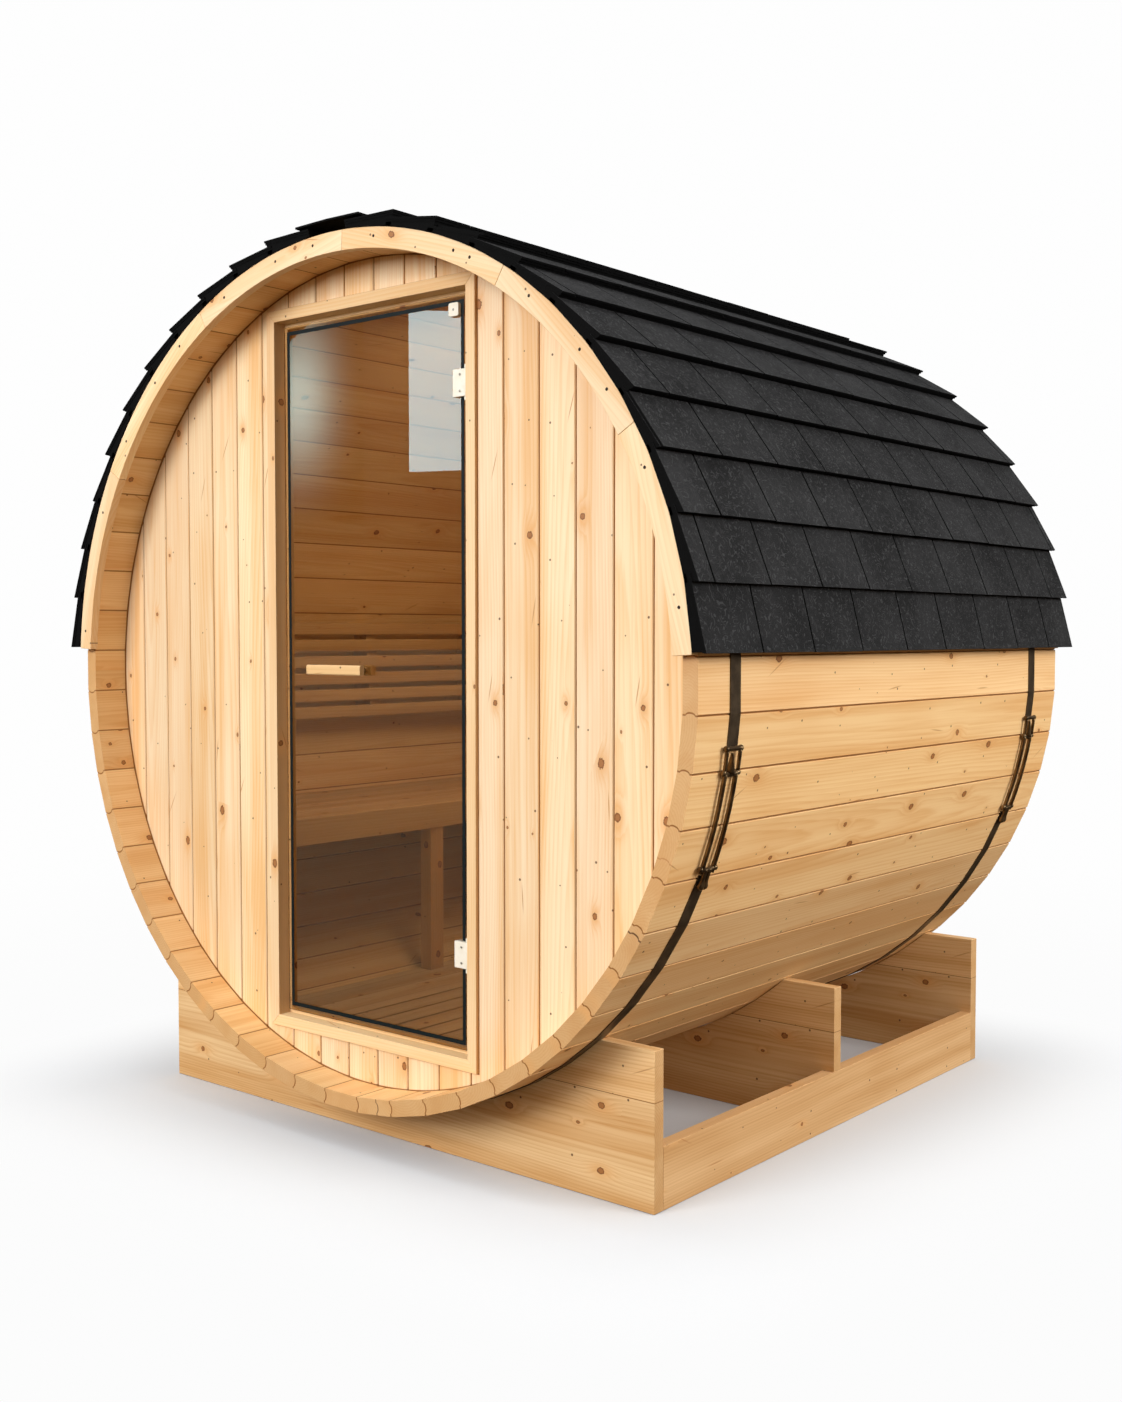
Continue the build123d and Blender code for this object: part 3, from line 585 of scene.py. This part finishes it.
def trimRing(joints, near, far):
    # each board is a four-cornered profile carried along an arc between two joints;
    # its grain lies straight: along = r sin(angle from its middle), across = r cos(angle)
    half = np.degrees(trim["jointGap"] / 2)
    ends = np.stack([np.array(joints[:-1]) + half, np.array(joints[1:]) - half], -1)
    angle = ends[:, :1] + (ends[:, 1:] - ends[:, :1]) * np.linspace(0, 1, trim["steps"])
    radius = np.array([trim["innerRadius"], trim["outerRadius"], trim["outerRadius"], trim["innerRadius"]])
    depth = np.array([near, near, far, far])
    boards = onBarrel(radius, angle[..., None], depth)
    away = np.radians(angle - ends.mean(1)[:, None])[..., None]
    place = np.stack(np.broadcast_arrays(radius * np.sin(away), radius * np.cos(away) - trim["grainRadius"],
                                         depth), -1)
    number = np.repeat(np.arange(len(boards)), boards[0].size // 3)
    verts, faces = joined([strip(board, caps=[(0, 1, 2, 3)]) for board in boards])
    return verts, faces, place.reshape(-1, 3), number


def mottled(name, first, second, scale, roughness, specular):
    # two dark tones mixed by fine noise
    material, tree, shader = newMaterial(name)
    spots = noise(tree, addNode(tree, "TexCoord").outputs["Object"], scale)
    feed(tree, shader, {"Base Color": mixColours(tree, spots, first, second),
                        "Roughness": roughness, "Specular IOR Level": specular})
    return material


trimWood = spruce("trimSpruce", "trim", ownBoards, seed=153.0)
screwMetal = mottled("screwHead", (0.035, 0.02, 0.012), (0.012, 0.007, 0.005), 900.0, 0.6, 0.2)
rearScrews = np.add.outer(trim["rearJoints"][:-1], trim["rearScrews"]).ravel()
for place, way, joints, screws, firstBoard in (
        ("front", -1, trim["frontJoints"], trim["frontScrews"], 0),
        ("rear", 1, trim["rearJoints"], rearScrews, trim["firstRearBoard"])):
    face = way * (barrel["halfLength"] + trim["thickness"])
    verts, faces, grain, board = trimRing(joints, *sorted((face, way * barrel["halfLength"])))
    ring = meshPiece(f"{place}_trim_boards", verts, faces, trimWood, slot="spruce_trim")
    storeGrain(ring, grain, board + firstBoard)
    soften(ring, trim["edgeRound"], weld=False)
    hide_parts(f"{place}_trim")
    wear(trimWood, f"{place}_trim")
    heads = domes(onBarrel(trim["screwCircle"], screws, face), trim["screwRadius"], way * trim["screwRise"])
    meshPiece(f"{place}_trim_screws", *heads, screwMetal, slot="band_steel", smooth=True)
print("trim done")


# Bronze tinted glass, with a dark line round it just inside its edge

glassLook = {
    "tint": (0.75, 0.605, 0.41),
    "ior": 1.5,
    "lineInset": 0.0115,
    "lineWidth": 0.0095,
    "lineThickness": 0.0004,
    "lineColours": ((0.005, 0.010, 0.011), (0.009, 0.015, 0.016)),
}
glass, tree, shader = newMaterial("bronzeGlass")
feed(tree, shader, {"Base Color": (*glassLook["tint"], 1), "Transmission Weight": 1.0, "Roughness": 0.0,
                    "IOR": glassLook["ior"]})
wear(glass, "door_glass")


def glassLine():
    # rectangle's outline with a four-cornered section, a loop of four mitred bars
    low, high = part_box("door_glass")
    inset = glassLook["lineInset"] + np.array([0, glassLook["lineWidth"], glassLook["lineWidth"], 0])
    y = low[1] - np.array([0, 0, 1, 1]) * glassLook["lineThickness"]
    corners = ((low[0], low[2], 1, 1), (high[0], low[2], -1, 1), (high[0], high[2], -1, -1),
               (low[0], high[2], 1, -1))
    sections = np.array([np.stack([x + dx * inset, y, z + dz * inset], -1) for x, z, dx, dz in corners])
    return strip(sections, loop=True)


darkLine = mottled("darkGlassLine", *glassLook["lineColours"], 300.0, 0.5, 0.15)
meshPiece("door_glass_line", *glassLine(), darkLine, slot="door_glass", body="door")


# Hinges, corner block and straps

def plainFinish(name, light, dark, scale, roughness, metallic=0.0, bump=0.1):
    # two close tones mixed by noise, with a slight bump from the same noise
    material, tree, shader = newMaterial(name)
    grain = noise(tree, addNode(tree, "TexCoord").outputs["Object"], scale, 4.0, 0.6)
    feed(tree, shader, {"Base Color": mixColours(tree, fade(tree, grain, 0.35, 0.65), light, dark),
                        "Normal": bumped(tree, grain, bump, 0.0004), "Roughness": roughness,
                        "Metallic": metallic})
    return material


ivoryPlastic = plainFinish("ivoryPlastic", (0.93, 0.88, 0.76), (0.89, 0.83, 0.69), scale=60, roughness=0.3)
wear(ivoryPlastic, "door_hinge_clamps", "door_hinge_brackets", "door_corner_block")
strapMetal = plainFinish("bronzeStrap", (0.12, 0.082, 0.047), (0.07, 0.047, 0.027), scale=35, roughness=0.38,
                         metallic=0.6)
wear(strapMetal, "band_front", "band_rear")

strap = {
    "width": 0.036,
    "innerRise": 0.0003,
    "outerRise": 0.0022,
    "startAngle": -7.0,
    "endAngle": 337.9,
    "shift": 0.006,
}


def strapLoop(middle):
    # flat section carried round the staves, straight over each and bent at each joint:
    # radius = flat radius / cos(angle from the nearest stave's middle) + rise
    half = np.pi / barrel["staveCount"]
    start, end = np.radians((strap["startAngle"], strap["endAngle"]))
    joints = np.arange(-barrel["staveCount"], 2 * barrel["staveCount"]) * 2 * half + half
    joints = joints[(joints > start + 0.01) & (joints < end - 0.01)]
    angle = np.concatenate([[start], joints, [end]])
    radius = barrel["outerRadius"] * np.cos(half) / np.cos((angle + half) % (2 * half) - half)
    y = middle + strap["width"] / 2 * np.array([-1, -1, 1, 1])
    rise = np.array([strap["innerRise"], strap["outerRise"], strap["outerRise"], strap["innerRise"]])
    sections = onBarrel(radius[:, None] + rise, np.degrees(angle)[:, None], y)
    return strip(sections, caps=[(0, 1, 2, 3)])


for place in ("front", "rear"):
    low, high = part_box(f"band_{place}")
    verts, faces = strapLoop((low[1] + high[1]) / 2 + strap["shift"])
    loop = meshPiece(f"{place}_strap", verts, faces, strapMetal, slot="band_steel")
    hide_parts(f"band_{place}")

pins = {
    "radius": 0.0028,
    "rise": 0.0006,
    "reach": (0.012, 0.048),  # from the far ends of the two hinges
}


def pinHeads():
    # low domes on the hinge clamps and the corner block, as the trim's screws are
    low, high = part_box("door_hinge_clamps")
    blockLow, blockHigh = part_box("door_corner_block")
    levels = [end + way * reach for end, way in ((low[2], 1), (high[2], -1)) for reach in pins["reach"]]
    middles = [((low[0] + high[0]) / 2, low[1], level) for level in levels]
    middles.append(((blockLow[0] + blockHigh[0]) / 2, blockLow[1], (blockLow[2] + blockHigh[2]) / 2))
    return domes(np.array(middles), pins["radius"], -pins["rise"])


pinSteel = plainFinish("pinSteel", (0.42, 0.39, 0.33), (0.30, 0.27, 0.22), scale=200, roughness=0.35, metallic=0.7)
meshPiece("door_block_pins", *pinHeads(), pinSteel, slot="hinge_plastic", body="door", smooth=True)


# Tensioners: two draw rods between rounded bars, with links, a tongue and a hook with a ball

tensioner = {
    "barRadius": 1.0076,
    "topAngle": -7.0,
    "linkAngle": -9.6,
    "bottomAngle": -21.0,
    "hookAngle": -23.7,
    "halfLength": 0.029,
    "barThickness": 0.0052,
    "linkBow": 0.35,
    "bottomBow": 0.2,
    "rodSpacing": 0.038,
    "rodRadius": 0.0053,
    "rodFlat": 0.7,
    "linkShift": 0.004,
    "linkLift": 0.001,
    "linkRadius": 0.0042,
    "linkFlat": 0.8,
    "tongueShift": -0.004,
    "tongueLift": 0.0015,
    "tongueRadius": 0.0035,
    "tongueSpread": 0.008,
    "tongueFlat": 0.35,
    "hookSpacing": 0.014,
    "hookLift": 0.001,
    "hookRadius": 0.0042,
    "hookTip": 0.0004,
    "hookShift": 0.004,
    "ballRadius": 0.0074,
    "ballPlace": 0.84,  # share of the hook's length
    "ballReach": 0.19,
}


def roundBar(middle, angle, bow=0.0):
    # bar along the barrel whose radius follows a knob at each end, bowed downwards in the middle
    look = tensioner
    share = np.array([-1, -0.985, -0.94, -0.86, -0.78, -0.7, -0.35, 0, 0.35, 0.7, 0.78, 0.86, 0.94, 0.985, 1])
    knob = np.array([0.25, 0.75, 1.15, 1.3, 1.15, 1, 0.96, 0.94, 0.96, 1, 1.15, 1.3, 1.15, 0.75, 0.25])
    points = onBarrel(look["barRadius"], angle - bow * (1 - share ** 2), middle + look["halfLength"] * share)
    return tube(points, look["barThickness"] * knob, up=(0, 0, 1))


def tensionerParts(middle):
    look = tensioner
    top, link, bottom = look["topAngle"], look["linkAngle"], look["bottomAngle"]
    parts = [roundBar(middle, top), roundBar(middle, link, look["linkBow"]),
             roundBar(middle, bottom, look["bottomBow"])]
    share = np.linspace(0, 1, 21)
    for side in (-1, 1):
        y = middle + side * look["rodSpacing"] / 2
        rod = onBarrel(look["barRadius"], link + (bottom - 0.6 - link) * share, y)
        parts.append(tube(rod, look["rodRadius"], flat=look["rodFlat"]))
        path = onBarrel(look["barRadius"] + look["linkLift"], top + (link - top) * share[::4],
                        y + side * look["linkShift"])
        parts.append(tube(path, look["linkRadius"], flat=look["linkFlat"]))
    share = share[::2]
    tongue = onBarrel(look["barRadius"] + look["tongueLift"], top - 0.5 + (link - top + 0.3) * share,
                      middle + look["tongueShift"])
    parts.append(tube(tongue, look["tongueRadius"] + look["tongueSpread"] * share, flat=look["tongueFlat"]))
    angle = bottom + (look["hookAngle"] - bottom) * share
    ball = look["ballRadius"] * np.sqrt(np.clip(1 - ((share - look["ballPlace"]) / look["ballReach"]) ** 2, 0, 1))
    for side, scale in ((-1, 1.0), (1, 0.85)):
        radius = np.maximum(look["hookRadius"] * (share < 0.95), ball) * scale + look["hookTip"]
        y = middle + side * look["hookSpacing"] / 2 + look["hookShift"] * share
        parts.append(tube(onBarrel(look["barRadius"] + look["hookLift"], angle, y), radius))
    return joined(parts)


agedBronze = plainFinish("agedBronze", (0.27, 0.175, 0.085), (0.12, 0.075, 0.038), scale=24, roughness=0.30,
                         metallic=0.85, bump=0.05)
wear(agedBronze, "tensioner_front", "tensioner_rear")
for place in ("front", "rear"):
    low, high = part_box(f"tensioner_{place}")
    verts, faces = tensionerParts((low[1] + high[1]) / 2)
    fitting = meshPiece(f"{place}_band_tensioner", verts, faces, agedBronze, slot="tensioner_bronze", smooth=True)
    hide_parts(f"tensioner_{place}")
print("glass and fittings done")


# Softer edges on CAD nodes, by the width of the rounding

edgeRounds = {
    0.0012: ("door_jamb_left", "door_jamb_right", "door_head", "door_sill", "bench_legs", "bench_seat"),
    0.0016: ("front_saddle", "middle_saddle", "rear_saddle", "left_rail", "right_rail"),
    0.0014: ("door_hinge_clamps", "door_corner_block", "door_handle"),
    0.0045: ("backrest_slats",),
}
for width, names in edgeRounds.items():
    for name in names:
        soften(cadNodes[name], width)


# Shingles: each course has full-length under layers and a row of cut tabs on top

roof = {
    "halfLength": 0.877,
    "courses": 11,
    "eaveAngle": np.radians(3.4),
    "ridgeHalfAngle": np.radians(4.6),
    "overlap": np.radians(1.2),
    "lipRadius": 1.037,
    "topRadius": 1.019,
    "baseRadius": 1.0026,
    "tabThickness": 0.005,
    "tabLength": 0.2,
    "tabGap": 0.0045,
    "tabOffsets": (0.12, 0.175, 0.05, 0.13, 0.04, 0.11, 0.17, 0.06, 0.14, 0.03, 0.1),
    "tabShift": 0.004,
    "tabSag": 0.0012,
    "shortestTab": 0.012,
    "layerStep": 0.0022,
    "layerEndStep": 0.00132,
    "lift": 0.0008,
    "capHalfWidth": 0.105,
    "capThickness": 0.0045,
    "capRaise": 0.006075,
    "capPeak": 0.0021,
    "capExposure": 0.2,
    "capLength": 0.27,
    "shortestCap": 0.05,
}
coursePitch = (np.pi / 2 - roof["ridgeHalfAngle"] - roof["eaveAngle"]) / roof["courses"]

blockFaces = np.array([(0, 1, 2, 3), (7, 6, 5, 4), (0, 4, 5, 1), (1, 5, 6, 2), (2, 6, 7, 3), (3, 7, 4, 0)])


def blocks(corners, near, far):
    # corners (n, 4, 2) of a section in x and z, carried from y = near to y = far, both (n,)
    count = len(corners)
    verts = np.zeros((count, 8, 3))
    verts[:, :4, [0, 2]] = corners
    verts[:, 4:, [0, 2]] = corners
    verts[:, :4, 1] = near[:, None]
    verts[:, 4:, 1] = far[:, None]
    faces = (blockFaces[None] + 8 * np.arange(count)[:, None, None]).reshape(-1, 4)
    return verts.reshape(-1, 3), faces


def courseSection(side, low, high, lipLow, lipHigh, topLow, topHigh):
    # quad in x and z with its lower edge at angle low and its upper edge at angle high:
    # x = side r cos(angle), z = axis + r sin(angle)
    radii = np.stack([np.broadcast_to(radius, low.shape) for radius in (lipLow, lipHigh, topHigh, topLow)], -1)
    angles = np.stack([low, low, high, high], -1)
    section = np.stack([side[:, None] * radii * np.cos(angles),
                        barrel["axisHeight"] + radii * np.sin(angles)], -1)
    return np.where(side[:, None, None] > 0, section, section[:, ::-1])


def shingleParts():
    course, side = [grid.ravel() for grid in np.meshgrid(np.arange(roof["courses"]), (1.0, -1.0), indexing="ij")]
    low = roof["eaveAngle"] + course * coursePitch
    high = low + coursePitch + roof["overlap"]
    thick = roof["tabThickness"]
    parts = []
    for layer in (1, 2):  # under layers, each set back a little from the one above
        outer = roof["lipRadius"] - roof["lift"] - layer * thick
        topOuter = roof["topRadius"] - layer * thick
        inner = roof["baseRadius"] if layer == 2 else outer - thick
        topInner = roof["baseRadius"] if layer == 2 else topOuter - thick
        section = courseSection(side, low + layer * roof["layerStep"], high, inner, outer, topInner, topOuter)
        ends = np.full(len(course), roof["halfLength"] - layer * roof["layerEndStep"])
        parts.append(blocks(section, -ends, ends))

    # tabs, longer or shorter and a little up or down at random
    rng = np.random.default_rng(7)
    number = np.arange(-6, 7)
    offset = np.array(roof["tabOffsets"])[course]
    start = number[None] * roof["tabLength"] + offset[:, None]
    start = start + rng.uniform(-roof["tabShift"], roof["tabShift"], start.shape)
    stop = np.concatenate([start[:, 1:] - roof["tabGap"], np.full((len(course), 1), np.inf)], 1)
    start = np.clip(start, -roof["halfLength"], roof["halfLength"])
    stop = np.clip(stop, -roof["halfLength"], roof["halfLength"])
    keep = (stop - start) > roof["shortestTab"]
    lift = rng.uniform(0, roof["lift"], keep.shape)[keep]
    sag = rng.uniform(0, roof["tabSag"], keep.shape)[keep]
    outer = roof["lipRadius"] - roof["lift"] + lift
    side, low, high = (np.broadcast_to(values[:, None], keep.shape)[keep] for values in (side, low, high))
    section = courseSection(side, low + sag, high, outer - thick, outer, roof["topRadius"] - thick,
                            roof["topRadius"])
    parts.append(blocks(section, start[keep], stop[keep]))
    return joined(parts)


def capParts():
    # overlapping chevrons on the ridge: each lies on the next, so its front end is raised
    low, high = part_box("roof_ridge_cap")
    start = np.arange(-roof["halfLength"], roof["halfLength"] - roof["shortestCap"], roof["capExposure"])
    stop = np.minimum(start + roof["capLength"], roof["halfLength"])
    rise = np.array([roof["capRaise"], 0.0])
    x = roof["capHalfWidth"] * np.array([1.0, 0.0, -1.0])
    level = low[2] + np.array([0.0, roof["capPeak"], 0.0])
    bottom = np.stack([x, level], -1)
    outline = np.concatenate([bottom[::-1], bottom + np.array([0.0, roof["capThickness"]])])
    sections = np.zeros((len(start), 2, 6, 3))
    sections[..., 0] = outline[:, 0]
    sections[..., 2] = outline[:, 1] + rise[None, :, None]
    sections[..., 1] = np.stack([start, stop], -1)[:, :, None]
    return joined([strip(one, caps=[(0, 1, 4, 5), (1, 2, 3, 4)]) for one in sections])


shingleLook = {
    "darkColour": (0.0052, 0.0053, 0.0055),
    "paleColour": (0.044, 0.044, 0.045),
    "cutEdgeAndShadeColour": (0.0022, 0.0022, 0.0023),
    "granuleScale": 520.0,
    "cloudScale": 9.0,
    "curlScale": 34.0,
    "curlLines": 10.0,
    "breakScale": 90.0,
    "granuleShade": 0.5,
    "tabShade": 0.16,
    "curlShade": 2.4,
    "cloudShade": 0.5,
    "bump": 0.5,
    "bumpDistance": 0.0012,
    "roughness": 0.85,
    "specular": 0.12,
}


def makeShingleMaterial():
    # dark granules with fine pale curled fibres, a tone for each tab, and black cut edges and lips, partly the
    # asphalt's own edge and partly painted shade under each lip
    look = shingleLook
    material, tree, shader = newMaterial("shingle")
    coordinates = addNode(tree, "TexCoord").outputs
    place = coordinates["Object"]
    angle, _, along = barrelPlace(tree)
    mirrored = maths(tree, "MINIMUM", angle, minus(tree, float(np.pi), angle))
    course = maths(tree, "DIVIDE", minus(tree, mirrored, roof["eaveAngle"]), coursePitch)
    course = maths(tree, "FLOOR", course)
    tab = maths(tree, "FLOOR", maths(tree, "DIVIDE", along, roof["tabLength"]))
    chance = addNode(tree, "TexWhiteNoise", {"Vector": combine(tree, course, tab, 0.0)}, noise_dimensions="3D")
    granule = noise(tree, place, look["granuleScale"], 1.0, 0.7)
    cloud = noise(tree, place, look["cloudScale"], 1.0, 0.6)

    # fibres are level lines of a slow noise, broken up by a finer one
    curls = times(tree, noise(tree, place, look["curlScale"], 1.0, 0.6), look["curlLines"])
    contour = maths(tree, "ABSOLUTE", minus(tree, maths(tree, "FRACT", curls), 0.5))
    broken = fade(tree, noise(tree, place, look["breakScale"], 0.0), 0.47, 0.58)
    curl = times(tree, fade(tree, contour, 0.17, 0.04), broken)

    shade = plus(tree, times(tree, fade(tree, granule, 0.25, 0.8), look["granuleShade"]),
                 times(tree, chance.outputs["Value"], look["tabShade"]))
    shade = plus(tree, shade, times(tree, curl, look["curlShade"]))
    shade = plus(tree, shade, maths(tree, "MULTIPLY_ADD", cloud, look["cloudShade"], -0.2))
    colour = mixColours(tree, shade, look["darkColour"], look["paleColour"])

    # outward share of the normal: near 1 on a tab's face, near 0 on its cut edges
    axes = addNode(tree, "SeparateXYZ", {0: place}).outputs
    normal = addNode(tree, "SeparateXYZ", {0: coordinates["Normal"]}).outputs
    up = minus(tree, axes[2], barrel["axisHeight"])
    facing = plus(tree, times(tree, axes[0], normal[0]), times(tree, up, normal[2]))
    # painted shade: the lips and cut edges turn black, partly the asphalt's own edge and partly the shade under
    # each lip
    colour = mixColours(tree, fade(tree, facing, 0.55, 0.85), look["cutEdgeAndShadeColour"], colour)
    height = plus(tree, granule, times(tree, curl, 0.8))
    feed(tree, shader, {"Base Color": colour, "Normal": bumped(tree, height, look["bump"], look["bumpDistance"]),
                        "Roughness": look["roughness"], "Specular IOR Level": look["specular"]})
    return material


shingle = makeShingleMaterial()
shingles = meshPiece("shingle_courses", *shingleParts(), shingle, slot="shingle")
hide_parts("roof_left", "roof_right")
caps = meshPiece("ridge_cap_shingles", *capParts(), shingle, slot="shingle")
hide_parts("roof_ridge_cap")
wear(shingle, "roof_left", "roof_right", "roof_ridge_cap")
print("roof done")


# Camera, floor and light

view = {
    "place": (2.6419, -3.2275, 1.1949),
    "yaw": np.radians(39.759),
    "pitch": np.radians(2.522),
    "lens": 39.496,
    "sensorWidth": 36,
    "farthest": 400,
}
camera = bpy.data.objects.new("camera", bpy.data.cameras.new("camera"))
bpy.context.scene.collection.objects.link(camera)
camera.location = view["place"]
camera.rotation_euler = (np.pi / 2 - view["pitch"], 0, view["yaw"])
camera.data.lens = view["lens"]
camera.data.sensor_width = view["sensorWidth"]
camera.data.clip_end = view["farthest"]
bpy.context.scene.camera = camera

studio = {
    "floorSize": 160.0,
    "floorLevel": -0.0005,
    "floorColours": ((0.65, 0.67, 0.69), (0.66, 0.68, 0.70)),
    "footprint": (0.80, 0.81),  # half sizes of the cradle
    "shadowReach": 0.6,
    "nearFloor": 0.972,
    "whiteReach": (0.4, 4.0),
    "backdrop": 0.99,
    "ambientDown": 0.15,
    "ambientUp": 0.88,
    "warmBounce": (1.0, 0.62, 0.32),
    "glossShare": 0.22,
}


def plane(name, corners, material):
    mesh = bpy.data.meshes.new(name)
    mesh.from_pydata(corners, [], [(0, 1, 2, 3)])
    mesh.materials.append(material)
    sheet = bpy.data.objects.new(name, mesh)
    bpy.context.scene.collection.objects.link(sheet)
    return sheet


# the floor turns into plain backdrop white with distance from the cradle, so that no horizon shows
floorMaterial, tree, shader = newMaterial("paleFloor")
place = addNode(tree, "TexCoord").outputs["Object"]
feed(tree, shader, {"Base Color": mixColours(tree, noise(tree, place, 3.0, 0.0), *studio["floorColours"]),
                    "Roughness": 0.9, "Specular IOR Level": 0.0})
beside = addNode(tree, "VectorMath", {0: place}, operation="ABSOLUTE").outputs[0]
beside = addNode(tree, "VectorMath", {0: beside, 1: (*studio["footprint"], 1.0)}, operation="SUBTRACT").outputs[0]
beside = addNode(tree, "VectorMath", {0: beside, 1: (0, 0, 0)}, operation="MAXIMUM").outputs[0]
away = addNode(tree, "VectorMath", {0: beside}, operation="LENGTH").outputs["Value"]
strength = fade(tree, away, *studio["whiteReach"], studio["nearFloor"], studio["backdrop"])
backdrop = addNode(tree, "Emission", {"Color": (1, 1, 1, 1), "Strength": strength})
blend = addNode(tree, "MixShader", {0: fade(tree, away, -0.1, studio["shadowReach"]), 1: shader.outputs[0],
                                    2: backdrop.outputs[0]})
feed(tree, tree.nodes["Material Output"], {"Surface": blend.outputs[0]})
half, level = studio["floorSize"] / 2, studio["floorLevel"]
studioFloor = plane("studioFloor", [(-half, -half, level), (half, -half, level), (half, half, level),
                                    (-half, half, level)], floorMaterial)
studioFloor.visible_diffuse = False
studioFloor.visible_glossy = False

# white behind the object, and a softer light all round it: bright above, dim and warm below
world = bpy.data.worlds.new("studio")
world.use_nodes = True
tree = world.node_tree
up = axesOf(tree, "Generated")[2]
rays = addNode(tree, "LightPath").outputs
ambient = fade(tree, up, -0.15, 0.28, studio["ambientDown"], studio["ambientUp"])
dimming = maths(tree, "MULTIPLY_ADD", rays["Is Glossy Ray"], studio["glossShare"] - 1, 1.0)
ambient = times(tree, ambient, dimming)
strength = addNode(tree, "Mix", {0: rays["Is Camera Ray"], 2: ambient, 3: studio["backdrop"]}).outputs[0]
white = maths(tree, "MAXIMUM", fade(tree, up, -0.12, 0.2), rays["Is Camera Ray"])
feed(tree, tree.nodes["Background"], {"Color": mixColours(tree, white, studio["warmBounce"], (1, 1, 1)),
                                      "Strength": strength})
bpy.context.scene.world = world
bpy.context.scene.view_settings.view_transform = "Standard"
for kind, bounces in (("max", 7), ("diffuse", 2), ("glossy", 2), ("transmission", 6)):
    setattr(bpy.context.scene.cycles, kind + "_bounces", bounces)
bpy.context.scene.cycles.adaptive_threshold = 0.06

lamps = {
    "overheadSoftbox": {"place": (0.3, -0.5, 7.0), "target": (0, 0, 1), "size": (4.0, 4.0), "power": 120},
    "keySoftbox": {"place": (-1.2, -7.2, 3.5), "target": (0, 0, 1.1), "size": (3.5, 3.0), "power": 375},
    "fillSoftbox": {"place": (6.8, 1.0, 3.4), "target": (0, 0, 1.0), "size": (3.0, 3.0), "power": 310},
    "insideLamp": {"place": (0.2, -0.2, 1.9), "target": (-0.3, 0.2, 0.5), "size": (0.5, 0.8), "power": 6,
                   "colour": (1.0, 0.95, 0.86)},
}


def areaLight(name, place, target, size, power, colour=(1, 1, 1)):
    light = bpy.data.lights.new(name, "AREA")
    light.shape = "RECTANGLE"
    light.size, light.size_y = size
    light.energy = power
    light.color = colour
    lamp = bpy.data.objects.new(name, light)
    bpy.context.scene.collection.objects.link(lamp)
    lamp.location = place
    lamp.rotation_euler = (Vector(target) - Vector(place)).to_track_quat("-Z", "Y").to_euler()
    lamp.visible_camera = False
    lamp.visible_transmission = False


for name, lamp in lamps.items():
    areaLight(name, **lamp)

# cards that only the glass mirrors: a sharp window and a soft glow
cards = {
    "window": {"corners": [(-4.19, -5, 2.19), (-3.725, -5, 2.17), (-3.725, -5, 3.11), (-4.19, -5, 3.18)],
               "strength": 9.2, "colour": (0.68, 0.96, 1.0, 1)},
    "glow": {"corners": [(-5.9, -5, 1.9), (-4.6, -5, 1.9), (-4.6, -5, 3.6), (-5.9, -5, 3.6)],
             "strength": 7.1, "colour": (0.72, 1.0, 0.92, 1), "middle": (-5.22, 2.75), "spread": (0.30, 0.42)},
}


def bell(tree, value, middle, spread):
    # exp(-((value - middle) / spread) squared)
    share = maths(tree, "DIVIDE", minus(tree, value, middle), spread)
    return maths(tree, "EXPONENT", times(tree, maths(tree, "POWER", share, 2.0), -1.0))


for name, card in cards.items():
    material, tree, shader = newMaterial(name + "Card")
    strength = card["strength"]
    if "middle" in card:
        axes = axesOf(tree)
        across = bell(tree, axes[0], card["middle"][0], card["spread"][0])
        upright = bell(tree, axes[2], card["middle"][1], card["spread"][1])
        strength = times(tree, times(tree, across, upright), strength)
    light = addNode(tree, "Emission", {"Color": card["colour"], "Strength": strength})
    feed(tree, tree.nodes["Material Output"], {"Surface": light.outputs[0]})
    sheet = plane(name + "Card", card["corners"], material)
    sheet.visible_camera = False
    sheet.visible_diffuse = False
    sheet.visible_transmission = False
    sheet.visible_shadow = False
print("camera, floor and light done")
